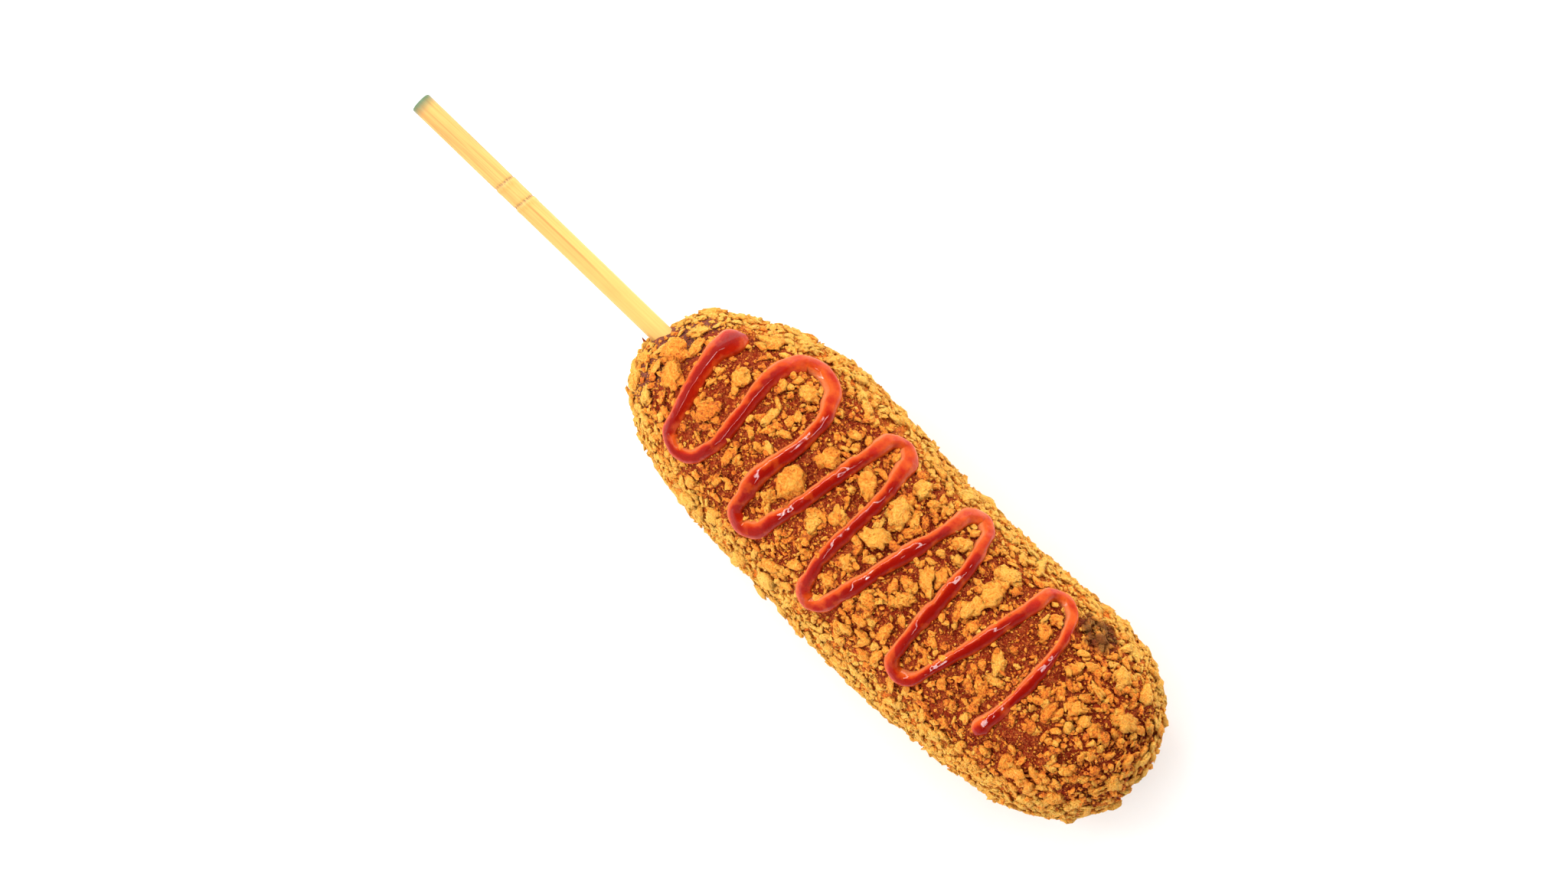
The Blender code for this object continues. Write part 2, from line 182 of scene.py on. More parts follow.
# The breadcrumbs that are seen first from above, in millimetres: x, y, length, width and turn in degrees. The
# spiral's large flakes keep the gap clear round them
LANDMARK_CRUMBS = (
    (-66.9, 0.9, 5.4, 4.8, 20),
    (-70.2, -0.6, 2.2, 1.8, 0),
    (-65.6, 7.4, 4.6, 3.6, 80),
    (-66.6, 12.2, 5.8, 3.4, 20),
    (-69.8, 8.0, 2.8, 2.6, 0),
    (-63.8, 4.6, 4.4, 2.4, 100),
    (-67.4, -4.6, 4.4, 2.2, 60),
    (-69.8, -8.6, 4.6, 3.6, 120),
    (-71.0, -4.6, 3.2, 2.4, 100),
    (-62.7, -3.6, 6.2, 5.0, 160),
    (-64.6, -10.6, 4.6, 3.2, 150),
    (-52.6, 16.3, 5.0, 4.0, 30),
    (-47.0, 20.8, 4.2, 3.2, 60),
    (-51.9, 5.9, 4.4, 3.6, 100),
    (-52.0, -3.4, 4.8, 3.6, 70),
    (-38.6, 13.6, 4.2, 3.8, 0),
    (-41.6, 4.6, 4.8, 2.0, 95),
    (-36.9, 8.5, 2.6, 1.9, 140),
    (-42.0, -7.2, 4.8, 2.3, 95),
    (-26.0, 6.9, 5.2, 4.3, 100),
    (-28.6, -2.2, 6.6, 5.4, 120),
    (-29.8, -7.8, 3.2, 2.8, 0),
    (-15.6, -0.6, 4.2, 3.6, 140),
    (-16.2, 8.2, 5.6, 3.4, 130),
    (-18.8, -5.8, 4.6, 3.2, 80),
    (-6.4, 1.4, 6.4, 4.0, 30),
    (-6.6, 8.2, 5.4, 4.4, 120),
    (-2.8, 9.4, 4.0, 2.4, 130),
    (-6.2, 15.4, 4.8, 3.6, 70),
    (-2.2, 14.8, 2.8, 2.6, 0),
    (-8.1, 21.6, 5.0, 3.4, 20),
    (7.4, 2.2, 6.4, 2.9, 130),
    (9.4, 4.8, 4.4, 2.8, 120),
    (4.8, -1.2, 2.7, 2.5, 0),
    (8.8, 12.8, 4.4, 3.4, 60),
    (9.9, 9.6, 3.0, 2.4, 0),
    (-6.9, -7.6, 3.0, 2.4, 40),
    (-7.9, -12.2, 3.0, 2.2, 20),
    (6.9, -4.6, 4.6, 2.8, 30),
    (19.2, 4.4, 5.0, 3.4, 80),
    (17.9, 1.4, 3.2, 2.2, 120),
    (20.6, 9.4, 5.0, 4.2, 60),
    (20.6, 15.0, 6.0, 3.4, 25),
    (34.0, 11.6, 3.8, 3.0, 100),
    (34.8, 14.9, 3.2, 3.0, 0),
    (32.0, -0.4, 5.4, 3.2, 130),
    (33.2, -3.4, 4.8, 2.3, 20),
    (32.4, -6.8, 4.4, 3.0, 140),
    (54.2, 15.4, 5.2, 4.0, 60),
    (60.3, 9.0, 5.6, 4.0, 20),
    (51.0, 4.3, 4.8, 2.5, 20),
    (51.7, 10.1, 5.0, 2.2, 0),
    (46.9, -0.6, 4.8, 3.0, 70),
    (68.4, -2.2, 3.8, 3.0, 0),
    (60.8, -13.0, 3.8, 3.0, 40),
    (-50.0, 22.6, 4.2, 2.6, 80),
    (6.8, 25.0, 4.2, 2.6, 80),
    (43.0, -24.8, 4.0, 2.6, 95),
)
LANDMARK_GAP = 0.0006

# How far a flake's outline goes out or in, by noise over two sizes of its own round and by each corner alone
FLAKE_LOBES = ((0.80, 0.50), (0.38, 0.46))
FLAKE_JAG = 0.15

# How a flake lies: its thickness as a share of its width, how far out of the batter its middle lies, a length
# and a share of its thickness, and how far it leans in radians
FLAKE_THICKNESS = (0.34, 0.60)
FLAKE_RISE = 0.0003
FLAKE_OUT = (0.10, 0.35)
FLAKE_LEAN = 0.26

# The spiral's flakes: length in millimetres, width as a share of it, places tried for each flake wanted, how
# far a place strays, and the tone's middle, its spread and how much lower it is on top, as painted shade
LARGE_LENGTHS = (3.0, 5.5)
LARGE_LENGTH_POWER = 1.6
LARGE_SLIMNESS = (0.42, 0.85)
LARGE_SPARE = 1.6
LARGE_JITTER = 0.22
LARGE_TONES = (0.86, 0.16, 0.46)
TORN_LENGTHS = (1.8, 3.4)
TORN_SLIMNESS = (0.34, 0.78)
TORN_SPARE = 1.5
TORN_JITTER = 0.30
TORN_TONES = (0.86, 0.20, 0.58)

# The loose crumbs under the flakes: how often their faces are split, length in millimetres, first seed, their
# height as a share of it, how uneven they are, tones as above, how far out they lie as a share of half their
# height, and how far they also fill the thin places
LOOSE_CRUMBS = {
    "medium_crumbs": {
        "level": 1, "lengths": (1.0, 2.4), "seed": 81, "flatness": (0.35, 0.7), "jag": 0.34,
        "tones": (0.84, 0.22, 0.62), "out": (0.1, 1.0), "fill": 0.0,
    },
    "small_crumbs": {
        "level": 0, "lengths": (0.5, 1.1), "seed": 91, "flatness": (0.5, 0.9), "jag": 0.36,
        "tones": (0.80, 0.24, 0.56), "out": (0.1, 1.2), "fill": 0.35,
    },
    "crumb_dust": {
        "level": 0, "lengths": (0.2, 0.5), "seed": 101, "flatness": (0.6, 1.0), "jag": 0.30,
        "tones": (0.70, 0.24, 0.54), "out": (0.0, 1.0), "fill": 0.50,
    },
}
LOOSE_JITTER = 0.35
LOOSE_LENGTH_POWER = 0.7
LOOSE_SLIMNESS = (0.42, 0.9)
LOOSE_LEAN = 0.4

# What crumbs keep clear of: the stick's middle line, the ribbon by a share of its half width, and the floor,
# each with the share of a crumb's length that is added
STICK_CLEARANCE = 0.0026
STICK_SHARE = 0.5
LOOSE_STICK_SHARE = 0.3
RIBBON_CLEARANCE = 0.8
RIBBON_SHARE = 0.26
FLOOR_SHARE = 0.3
LOOSE_FLOOR_CLEARANCE = 0.0006

# Where the top gives way to the sides, as the upward part of the surface's direction
BATTER_SIDES_FROM = (0.70, 0.30)
COVERED_SIDES_FROM = (0.78, 0.42)
# Crumb tones carry painted shade where the surface faces up, fading out towards the sides over this range
PAINTED_TOP_SHADE_FROM = (0.45, 0.80)

# How far crumbs cover the top of the far tip, where along the food that sets in, the size and share of the
# patches on top, and the least cover
TIP_COVER = 0.85
TIP_COVER_FROM = (0.034, 0.058)
COVER_PATCHES = ((0.0055, 0.45),)
LEAST_COVER = 0.03

# Where the frying left the crumbs off or burnt them, seen from above: x, y and half sizes along x and y
BARE_PATCHES = (
    (-0.0655, 0.0030, 0.0050, 0.0090),
    (-0.0300, 0.0010, 0.0060, 0.0060),
    (0.0450, -0.0085, 0.0070, 0.0050),
    (0.0310, 0.0035, 0.0050, 0.0060),
)
BARE_PATCH_LOSS = 0.75
CHARRED_PATCH = (0.0440, 0.0195, 0.0062, 0.0040)
CHARRED_SHARE = 0.85
PATCH_EDGE = (1.15, 0.55)

# The dry skin round the stick: where along the food it begins, and how far it wanders by noise of a size
BARE_SKIN_FROM = (-0.0610, -0.0660)
BARE_SKIN_WANDER = ((0.0040, 0.003),)
BARE_SKIN_SHARE = 0.85

# The camera looks straight down. The food's axis runs down to the right across the picture
CAMERA_TARGET = (0.0005, 0.0029, 0.025)
CAMERA_DISTANCE = 0.828
CAMERA_TURN = math.radians(43.33)
CAMERA_LENS = 85.0
CAMERA_CLIP = (0.01, 20.0)

# The floor, a wide disc that lies a little under the food
FLOOR_RADIUS = 3.0
FLOOR_SIDES = 64
FLOOR_DROP = 0.0001

# The room: how bright its walls and ceiling are, the upward parts of a direction where one gives way to the
# other, and how much the wall past the food's tip is dimmed, with the parts along +X where that sets in
WALL_STRENGTH = 0.85
CEILING_STRENGTH = 0.06
WALL_TO = 0.35
CEILING_FROM = 0.70
FAR_WALL = (0.1, 0.7)
FAR_WALL_DIMMING = 0.10
LIGHT_AIM = (0.03, 0.0, 0.02)

# The lamps: name, azimuth in degrees from +X towards +Y, height, distance to the side, size and power. The
# two beside the food would show as pale bars in the ketchup, so nothing mirrors them
LIGHTS = (
    ("handle_side_light", 180.0, 1.00, 0.80, (1.10, 0.10), 11.5),
    ("handle_right_light", 128.0, 1.00, 0.80, (0.90, 0.10), 7.5),
    ("handle_left_light", 232.0, 1.00, 0.80, (0.90, 0.10), 8.0),
    ("right_side_light", 82.0, 0.45, 1.10, (1.20, 0.30), 9.0),
    ("left_side_light", 278.0, 0.45, 1.10, (1.20, 0.30), 7.5),
)
UNREFLECTED_LIGHTS = ("right_side_light", "left_side_light")

# How the body is measured: the places along its outline, and the short steps that give its directions
OUTLINE_STEPS = 6001
WALK_STEP = 0.0003
TURN_STEP = 0.01

# How crumbs are spread: the spiral's turn from one to the next, how near to the tips they may lie, the least
# radius that a stray to the side is turned into an angle with, and how widely flakes draw their own noise
GOLDEN_ANGLE = math.pi * (3.0 - math.sqrt(5.0))
PLACE_MARGIN = 0.0004
LEAST_RADIUS = 0.001
NOISE_ROOM = 900.0

# How many points are compared with the ketchup's line at once, and the distance that stands for far off it
POINTS_AT_ONCE = 2000
FAR_OFF = 1.0


def srgb(red, green, blue):
    """Linear red, green and blue from the 0 to 255 values that a picture shows."""
    shown = np.array((red, green, blue)) / 255.0
    linear = np.where(shown <= 0.04045, shown / 12.92, ((shown + 0.055) / 1.055) ** 2.4)
    return tuple(float(value) for value in linear)


def length_of(name, description, default):
    """A length in metres that a user may change."""
    return FloatProperty(
        name=name, description=description, default=default, min=0.0, unit="LENGTH", precision=5
    )


def share_of(name, description, default):
    """A share from 0 to 1 that a user may change."""
    return FloatProperty(
        name=name, description=description, default=default, min=0.0, max=1.0, subtype="FACTOR"
    )


def count_of(name, description, default):
    """A number of crumbs that a user may change."""
    return IntProperty(name=name, description=description, default=default, min=0)


def colour_of(name, description, *shown):
    """A colour that a user may change, from the 0 to 255 values that a picture shows."""
    return FloatVectorProperty(
        name=name, description=description, default=srgb(*shown), subtype="COLOR", size=3, min=0.0, max=1.0
    )


class CornDogSizes(bpy.types.PropertyGroup):
    """The sizes and counts that a user would change."""

    crag_height: length_of("Crag height", "How far the fried batter's crags stand out", 0.00050)
    collar_height: length_of("Collar height", "How far the batter climbs the stick where it goes in", 0.0005)
    large_crumbs: count_of("Large crumbs", "Flakes of 3 to 5.5 mm, beside the ones placed by hand", 320)
    torn_crumbs: count_of("Torn crumbs", "Flakes of 1.8 to 3.4 mm", 2450)
    medium_crumbs: count_of("Medium crumbs", "Crumbs of 1 to 2.4 mm", 6200)
    small_crumbs: count_of("Small crumbs", "Crumbs of 0.5 to 1.1 mm", 18000)
    crumb_dust: count_of("Crumb dust", "Grains of 0.2 to 0.5 mm", 22000)
    top_cover: share_of("Cover on top", "Share of the top that crumbs hide between the ketchup", 0.68)
    ketchup_half_width: length_of("Ketchup half width", "Half the ribbon's width", 0.00222)
    ketchup_height: length_of("Ketchup height", "How high the ribbon stands on the batter", 0.0017)
    ketchup_sunk: length_of("Ketchup sunk", "How deep the ribbon's underside lies in the crumbs", 0.0008)


class CornDogColours(bpy.types.PropertyGroup):
    """The colours that a user would change."""

    batter_dark: colour_of("Batter, dark", "The oily skin in its hollows", 112, 24, 9)
    batter_mid: colour_of("Batter, middle", "The skin between the crumbs", 142, 42, 16)
    batter_bare: colour_of("Batter, bare", "The dry skin round the stick", 132, 80, 66)
    batter_light: colour_of("Batter, light", "The skin where fine crumbs stick to it", 174, 82, 40)
    crumb_dull: colour_of("Crumb, soaked", "Crumbs that took up oil", 168, 82, 38)
    # Crumb, deep and Crumb, light also paint the shade at a crumb's foot and the light at its tips
    crumb_deep: colour_of("Crumb, deep", "The shaded foot of a crumb", 242, 128, 42)
    crumb_mid: colour_of("Crumb, middle", "The common golden crumb", 252, 160, 60)
    crumb_light: colour_of("Crumb, light", "Pale crumb tips", 255, 188, 86)
    charred: colour_of("Charred", "The burnt patch near the tip", 88, 36, 22)
    # The deep and thin ketchup colours also paint shade and light on the ribbon's two flanks
    ketchup_deep_and_shade: colour_of("Ketchup, deep", "Where the ribbon is thick", 120, 9, 4)
    ketchup_mid: colour_of("Ketchup, middle", "The common red", 162, 28, 6)
    ketchup_thin_and_lit: colour_of("Ketchup, thin", "Where light comes through", 192, 76, 22)
    # Ketchup, rim is a painted reflection of the bright room along the ribbon's edges
    ketchup_rim_reflection: colour_of("Ketchup, rim", "The thin outer edge", 206, 124, 78)
    bamboo_pale: colour_of("Bamboo, pale", "The stick near the food", 224, 178, 96)
    # Bamboo, deep also paints the shade on the stick's half towards -Y
    bamboo_deep_and_shade: colour_of("Bamboo, deep", "Fibres and the stick's outer part", 200, 140, 72)
    bamboo_fibre: colour_of("Bamboo, fibres", "Dark fibres and the seam", 176, 116, 56)
    bamboo_scar: colour_of("Bamboo, scars", "The two joint scars", 140, 104, 62)
    bamboo_dye: colour_of("Bamboo, dyed end", "The green end of the stick", 52, 104, 78)


def smoothstep(low, high, value):
    """Rises from 0 at low to 1 at high with no corner at either, and falls where low is above high."""
    share = np.clip((value - low) / (high - low), 0.0, 1.0)
    return share * share * (3.0 - 2.0 * share)


def lattice_value(cells, seed):
    """A random value from -1 to 1 for each whole-number cell, the same for the same cell and seed."""
    mixed = cells[..., 0] * 73856093 ^ cells[..., 1] * 19349663 ^ cells[..., 2] * 83492791 ^ seed * 49979687
    mixed = (mixed ^ (mixed >> 13)) * 1274126177 & 0x7FFFFFFF
    return ((mixed ^ (mixed >> 15)) & 0xFFFF) / 32767.5 - 1.0


def noise(points, size, seed):
    """Smooth noise from -1 to 1 over about one size: lattice values blended by a smoothstep each way."""
    scaled = np.asarray(points) / size
    cells = np.floor(scaled).astype(np.int64)
    share = scaled - cells
    share = share * share * (3.0 - 2.0 * share)
    total = np.zeros(scaled.shape[:-1])
    for corner in np.ndindex(2, 2, 2):
        weight = np.prod(np.where(np.array(corner, bool), share, 1.0 - share), axis=-1)
        total += weight * lattice_value(cells + np.array(corner), seed)
    return total


def layered_noise(points, layers, seed):
    """Noise of several sizes, each times its own share."""
    return sum(share * noise(points, size, seed + index) for index, (size, share) in enumerate(layers))


def bell(value, middle, width):
    """A Gaussian: 1 at the middle, falling off over the width on both sides."""
    return np.exp(-(((value - middle) / width) ** 2))


def unit(vectors):
    """Vectors of the same directions with length 1."""
    return vectors / np.maximum(np.linalg.norm(vectors, axis=-1, keepdims=True), 1e-12)


def girth(x):
    """The share of its full girth that the body has at x: 1, and a superellipse's quarter at each end."""
    near = np.clip((NEAR_END + NEAR_CAP - x) / NEAR_CAP, 0.0, 1.0)
    far = np.clip((x - FAR_END + FAR_CAP) / FAR_CAP, 0.0, 1.0)
    return np.sqrt((1.0 - near**NEAR_BLUNTNESS) * (1.0 - far**FAR_BLUNTNESS))


def middle_line(x):
    """How far the body's middle line sways to +Y: one cosine along its length."""
    return SWAY * np.cos(2.0 * np.pi * (x - SWAY_CREST) / SWAY_LENGTH)


def body_point(x, angle):
    """Points of the body: an ellipse at each x, scaled by the girth and by two slow waves of the batter.

    Round the stick's mouth the near end is pushed in by a Gaussian dent.
    """
    along = np.sin(2.0 * np.pi * x / SWELL_LENGTH + SWELL_LAG * np.cos(angle))
    around = np.sin(SWELL_RIDGES * angle + 2.0 * np.pi * x / SWELL_TWIST_LENGTH)
    grown = girth(x) * (1.0 + SWELL * (SWELL_SHARES[0] * along + SWELL_SHARES[1] * around))
    y = middle_line(x) + HALF_WIDTH * grown * np.sin(angle)
    z = BODY_Z + HALF_HEIGHT * grown * np.cos(angle)
    off_mouth = np.hypot((y - MOUTH_Y) / MOUTH_HALF_WIDTH, (z - MOUTH_Z) / MOUTH_HALF_HEIGHT)
    fade = smoothstep(NEAR_END + MOUTH_FADE[0], NEAR_END + MOUTH_FADE[1], x)
    sunk = MOUTH_DEPTH * bell(off_mouth, 0.0, 1.0) * fade
    return np.stack(np.broadcast_arrays(BODY_X + x + sunk, y, z), axis=-1)


def outline():
    """The body's x at many places from tip to tip, with the length walked along the outline and the area."""
    turn = np.linspace(0.0, np.pi, OUTLINE_STEPS)
    x = 0.5 * (NEAR_END + FAR_END) - 0.5 * (FAR_END - NEAR_END) * np.cos(turn)
    radius = HALF_WIDTH * girth(x)
    steps = np.hypot(np.diff(x), np.diff(radius))
    walked = np.concatenate(([0.0], np.cumsum(steps)))
    area = np.concatenate(([0.0], np.cumsum(steps * 0.5 * (radius[1:] + radius[:-1]))))
    return x, walked, area


OUTLINE_X, OUTLINE_WALKED, OUTLINE_AREA = outline()


def on_batter(walked, angle):
    """Points and outward directions of the body at lengths walked along its outline.

    A direction is the cross product of two short steps on the surface, one along it and one round it.
    """
    x = np.interp(walked, OUTLINE_WALKED, OUTLINE_X)
    before = np.interp(np.maximum(walked - WALK_STEP, 0.0), OUTLINE_WALKED, OUTLINE_X)
    after = np.interp(np.minimum(walked + WALK_STEP, OUTLINE_WALKED[-1]), OUTLINE_WALKED, OUTLINE_X)
    along = body_point(after, angle) - body_point(before, angle)
    around = body_point(x, angle + TURN_STEP) - body_point(x, angle - TURN_STEP)
    return body_point(x, angle), unit(np.cross(along, around))


def walked_to(x):
    """The length walked along the outline from the near tip to x."""
    return np.interp(x, OUTLINE_X, OUTLINE_WALKED)


def angle_above(x, y):
    """The angle of the body's point that lies under (x, y) when seen from above."""
    reach = (y - middle_line(x)) / (HALF_WIDTH * girth(x))
    return np.arcsin(np.clip(reach, -1.0, 1.0))


def stick_y(x):
    """The stick's middle line at a distance x from the body's middle."""
    return STICK_Y_AT_BODY + x * math.tan(STICK_YAW)


def from_stick(points):
    """How far each point is from the stick's middle line."""
    return np.hypot(points[..., 1] - stick_y(points[..., 0] - BODY_X), points[..., 2] - STICK_Z)


def patch(x, y, centre_x, centre_y, half_x, half_y):
    """1 in the middle of an elliptical patch seen from above, falling to 0 at its edge."""
    reach = np.hypot((x - centre_x) / half_x, (y - centre_y) / half_y)
    return smoothstep(*PATCH_EDGE, reach)


def smooth_path(points, step):
    """Points about one step apart on a smooth curve through the given points.

    Between two of them it is the cubic that meets both with their slopes. A point's slope is that of the
    parabola through it and its two neighbours, by the straight distances between them.
    """
    knots = np.array(points, float)
    gaps = np.linalg.norm(np.diff(knots, axis=0), axis=1)[:, None]
    slopes = np.diff(knots, axis=0) / gaps
    inner = (slopes[:-1] * gaps[1:] + slopes[1:] * gaps[:-1]) / (gaps[1:] + gaps[:-1])
    slopes = np.concatenate([slopes[:1], inner, slopes[-1:]])
    pieces = []
    for start, end, leave, reach, gap in zip(knots, knots[1:], slopes, slopes[1:], gaps[:, 0]):
        t = np.linspace(0.0, 1.0, max(2, round(gap / step)), endpoint=False)[:, None]
        held = (1.0 + 2.0 * t) * (1.0 - t) ** 2 * start + t**2 * (3.0 - 2.0 * t) * end
        pieces.append(held + gap * (t * (1.0 - t) ** 2 * leave - t**2 * (1.0 - t) * reach))
    return np.concatenate([*pieces, knots[-1:]])


def ketchup_line(step):
    """The ketchup's middle line seen from above: down one arm of each loop, round it and up the other."""
    points = [KETCHUP_HEAD, KETCHUP_START]
    for x, y, left, right in KETCHUP_TURNS:
        arm = y - math.copysign(KETCHUP_ARM, y)
        shoulder = y - math.copysign(KETCHUP_SHOULDER, y)
        points += [(x - left, arm), (x - KETCHUP_SHOULDER_REACH * left, shoulder), (x, y)]
        points += [(x + KETCHUP_SHOULDER_REACH * right, shoulder), (x + right, arm)]
    return smooth_path([*points, KETCHUP_END], step)


def closed_grid(rings, first_pole, last_pole):
    """Points and triangles of a closed surface from rings of points, with a pole at each end."""
    rows, count = rings.shape[:2]
    points = np.concatenate([rings.reshape(-1, 3), [first_pole, last_pole]])
    row = np.arange(rows - 1)[:, None] * count
    here = np.arange(count)[None, :]
    there = (here + 1) % count
    a, b, c, d = row + here, row + there, row + count + there, row + count + here
    sides = np.concatenate([np.stack([a, d, c], -1), np.stack([a, c, b], -1)]).reshape(-1, 3)
    here, there = here[0], there[0]
    last = (rows - 1) * count
    first_fan = np.stack([np.full(count, rows * count), here, there], -1)
    last_fan = np.stack([np.full(count, rows * count + 1), last + there, last + here], -1)
    return points, np.concatenate([sides, first_fan, last_fan])


def new_piece(name, points, triangles, material, smooth, values=None):
    """A mesh object at the origin from arrays, with its faces outwards and a named value at each point."""
    corners = points[triangles]
    if np.einsum("ij,ij->", corners[:, 0], np.cross(corners[:, 1], corners[:, 2])) < 0.0:
        triangles = triangles[:, ::-1]
    mesh = bpy.data.meshes.new(name)
    mesh.vertices.add(len(points))
    mesh.vertices.foreach_set("co", np.ascontiguousarray(points, np.float32).ravel())
    mesh.loops.add(triangles.size)
    mesh.loops.foreach_set("vertex_index", np.ascontiguousarray(triangles, np.int32).ravel())
    mesh.polygons.add(len(triangles))
    mesh.polygons.foreach_set("loop_start", np.arange(0, triangles.size, 3, dtype=np.int32))
    mesh.polygons.foreach_set("use_smooth", np.full(len(triangles), smooth))
    mesh.update(calc_edges=True)
    for key, value in (values or {}).items():
        attribute = mesh.attributes.new(key, "FLOAT", "POINT")
        attribute.data.foreach_set("value", np.ascontiguousarray(value, np.float32).ravel())
    mesh.materials.append(material)
    mesh.validate()
    piece = bpy.data.objects.new(name, mesh)
    bpy.context.scene.collection.objects.link(piece)
    return piece


def ball(level, octahedral=False):
    """Unit points and triangles of an icosahedron or octahedron, with each face split in four level times."""
    if octahedral:
        points = np.array([sign * axis for axis in np.eye(3) for sign in (1.0, -1.0)])
        upper = [(0, 2, 4), (2, 1, 4), (1, 3, 4), (3, 0, 4)]
        faces = np.array(upper + [(j, i, 5) for i, j, _ in upper])
    else:
        golden = 0.5 * (1.0 + math.sqrt(5.0))
        corners = [(0, a, b * golden) for a in (-1, 1) for b in (-1, 1)]
        points = unit(np.array([np.roll(corner, turn) for turn in range(3) for corner in corners]))
        gaps = np.linalg.norm(points[:, None] - points[None], axis=-1)
        near = (gaps > 0.1) & (gaps < 1.1)
        ordered = [(i, j, k) for i, j, k in np.ndindex(12, 12, 12) if i < j < k]
        faces = np.array([(i, j, k) for i, j, k in ordered if near[i, j] and near[j, k] and near[i, k]])
        first, second, third = (points[faces[:, index]] for index in range(3))
        inward = np.einsum("ij,ij->i", first, np.cross(second, third)) < 0
        faces[inward] = faces[inward][:, ::-1]
    for _ in range(level):
        edges = np.sort(np.concatenate([faces[:, [0, 1]], faces[:, [1, 2]], faces[:, [2, 0]]]), axis=1)
        unique, index = np.unique(edges, axis=0, return_inverse=True)
        middle = len(points) + index.reshape(3, -1)
        a, b, c = faces.T
        ab, bc, ca = middle
        faces = np.concatenate(
            [np.stack(t, -1) for t in ((a, ab, ca), (b, bc, ab), (c, ca, bc), (ab, bc, ca))]
        )
        points = np.concatenate([points, unit(points[unique[:, 0]] + points[unique[:, 1]])])
    return points, faces


class Value:
    """A number on its way through a material's nodes: sums and products of it add Math nodes."""

    def __init__(self, tree, socket):
        self.tree = tree
        self.socket = socket

    def math(self, operation, *values):
        """The result of one Math node."""
        node = self.tree.nodes.new("ShaderNodeMath")
        node.operation = operation
        for slot, value in zip(node.inputs, values):
            connect(self.tree, slot, value)
        return Value(self.tree, node.outputs[0])

    def __add__(self, other):
        return self.math("ADD", self, other)

    __radd__ = __add__

    def __sub__(self, other):
        return self.math("SUBTRACT", self, other)

    def __rsub__(self, other):
        return self.math("SUBTRACT", other, self)

    def __mul__(self, other):
        return self.math("MULTIPLY", self, other)

    __rmul__ = __mul__

    def size(self):
        """The value without its sign."""
        return self.math("ABSOLUTE", self)

    def clamped(self):
        """The value, kept from 0 to 1."""
        return self.math("MINIMUM", self.math("MAXIMUM", self, 0.0), 1.0)

    def rising(self, low, high):
        """0 up to low and 1 from high, straight between them."""
        return ((self - low) * (1.0 / (high - low))).clamped()


def connect(tree, slot, value):
    """Links a value or a socket to a node's slot, or sets the slot to a plain number or colour."""
    if isinstance(value, Value):
        tree.links.new(value.socket, slot)
    elif isinstance(value, bpy.types.NodeSocket):
        tree.links.new(value, slot)
    elif slot.type == "RGBA" and len(value) == 3:
        slot.default_value = (*value, 1.0)
    else:
        slot.default_value = value


class Nodes:
    """A node tree under construction."""

    def __init__(self, tree):
        self.tree = tree

    def node(self, kind, settings=None, **values):
        """Any node: its settings are set first, and then its sockets, whose names have _ for a space."""
        node = self.tree.nodes.new(kind)
        for key, setting in (settings or {}).items():
            setattr(node, key, setting)
        for key, value in values.items():
            connect(self.tree, node.inputs[key.replace("_", " ")], value)
        return node

    def mix(self, share, first, second):
        """A colour that goes from the first to the second as share goes from 0 to 1."""
        node = self.node("ShaderNodeMix", {"data_type": "RGBA"})
        for index, value in ((0, share), (6, first), (7, second)):
            connect(self.tree, node.inputs[index], value)
        return node.outputs[2]

    def axis_of(self, vector, index):
        """One coordinate of a vector socket."""
        return Value(self.tree, self.node("ShaderNodeSeparateXYZ", Vector=vector).outputs[index])


class Finish(Nodes):
    """A material under construction. Its patterns read Object coordinates or a named value of the mesh."""

    def __init__(self, name):
        self.material = bpy.data.materials.new(name)
        self.material.use_nodes = True
        super().__init__(self.material.node_tree)
        self.shader = self.tree.nodes["Principled BSDF"]
        self.place = self.node("ShaderNodeTexCoord").outputs["Object"]

    def named(self, name):
        """The mesh's named value."""
        return Value(self.tree, self.node("ShaderNodeAttribute", {"attribute_name": name}).outputs["Fac"])

    def noise(self, size, detail=2.0, roughness=0.5, stretch=(1.0, 1.0, 1.0), shift=0.0):
        """Noise from 0 to 1 over about one size, longer along an axis whose stretch is larger."""
        moved = self.node(
            "ShaderNodeMapping",
            Vector=self.place,
            Location=(shift, shift, shift),
            Scale=tuple(1.0 / (size * part) for part in stretch),
        )
        made = self.node(
            "ShaderNodeTexNoise", Vector=moved.outputs[0], Scale=1.0, Detail=detail, Roughness=roughness
        )
        return Value(self.tree, made.outputs["Fac"])

    def bump(self, height, distance):
        """A bump from a height of 0 to 1 over a distance, laid over any bump that was set before it."""
        node = self.node("ShaderNodeBump", Strength=1.0, Distance=distance, Height=height)
        before = self.shader.inputs["Normal"]
        if before.is_linked:
            self.tree.links.new(before.links[0].from_socket, node.inputs["Normal"])
        self.tree.links.new(node.outputs[0], before)

    def surface(self, **values):
        """Sets or links the shader's own sockets, whose names have _ for a space."""
        for key, value in values.items():
            connect(self.tree, self.shader.inputs[key.replace("_", " ")], value)
        return self.material


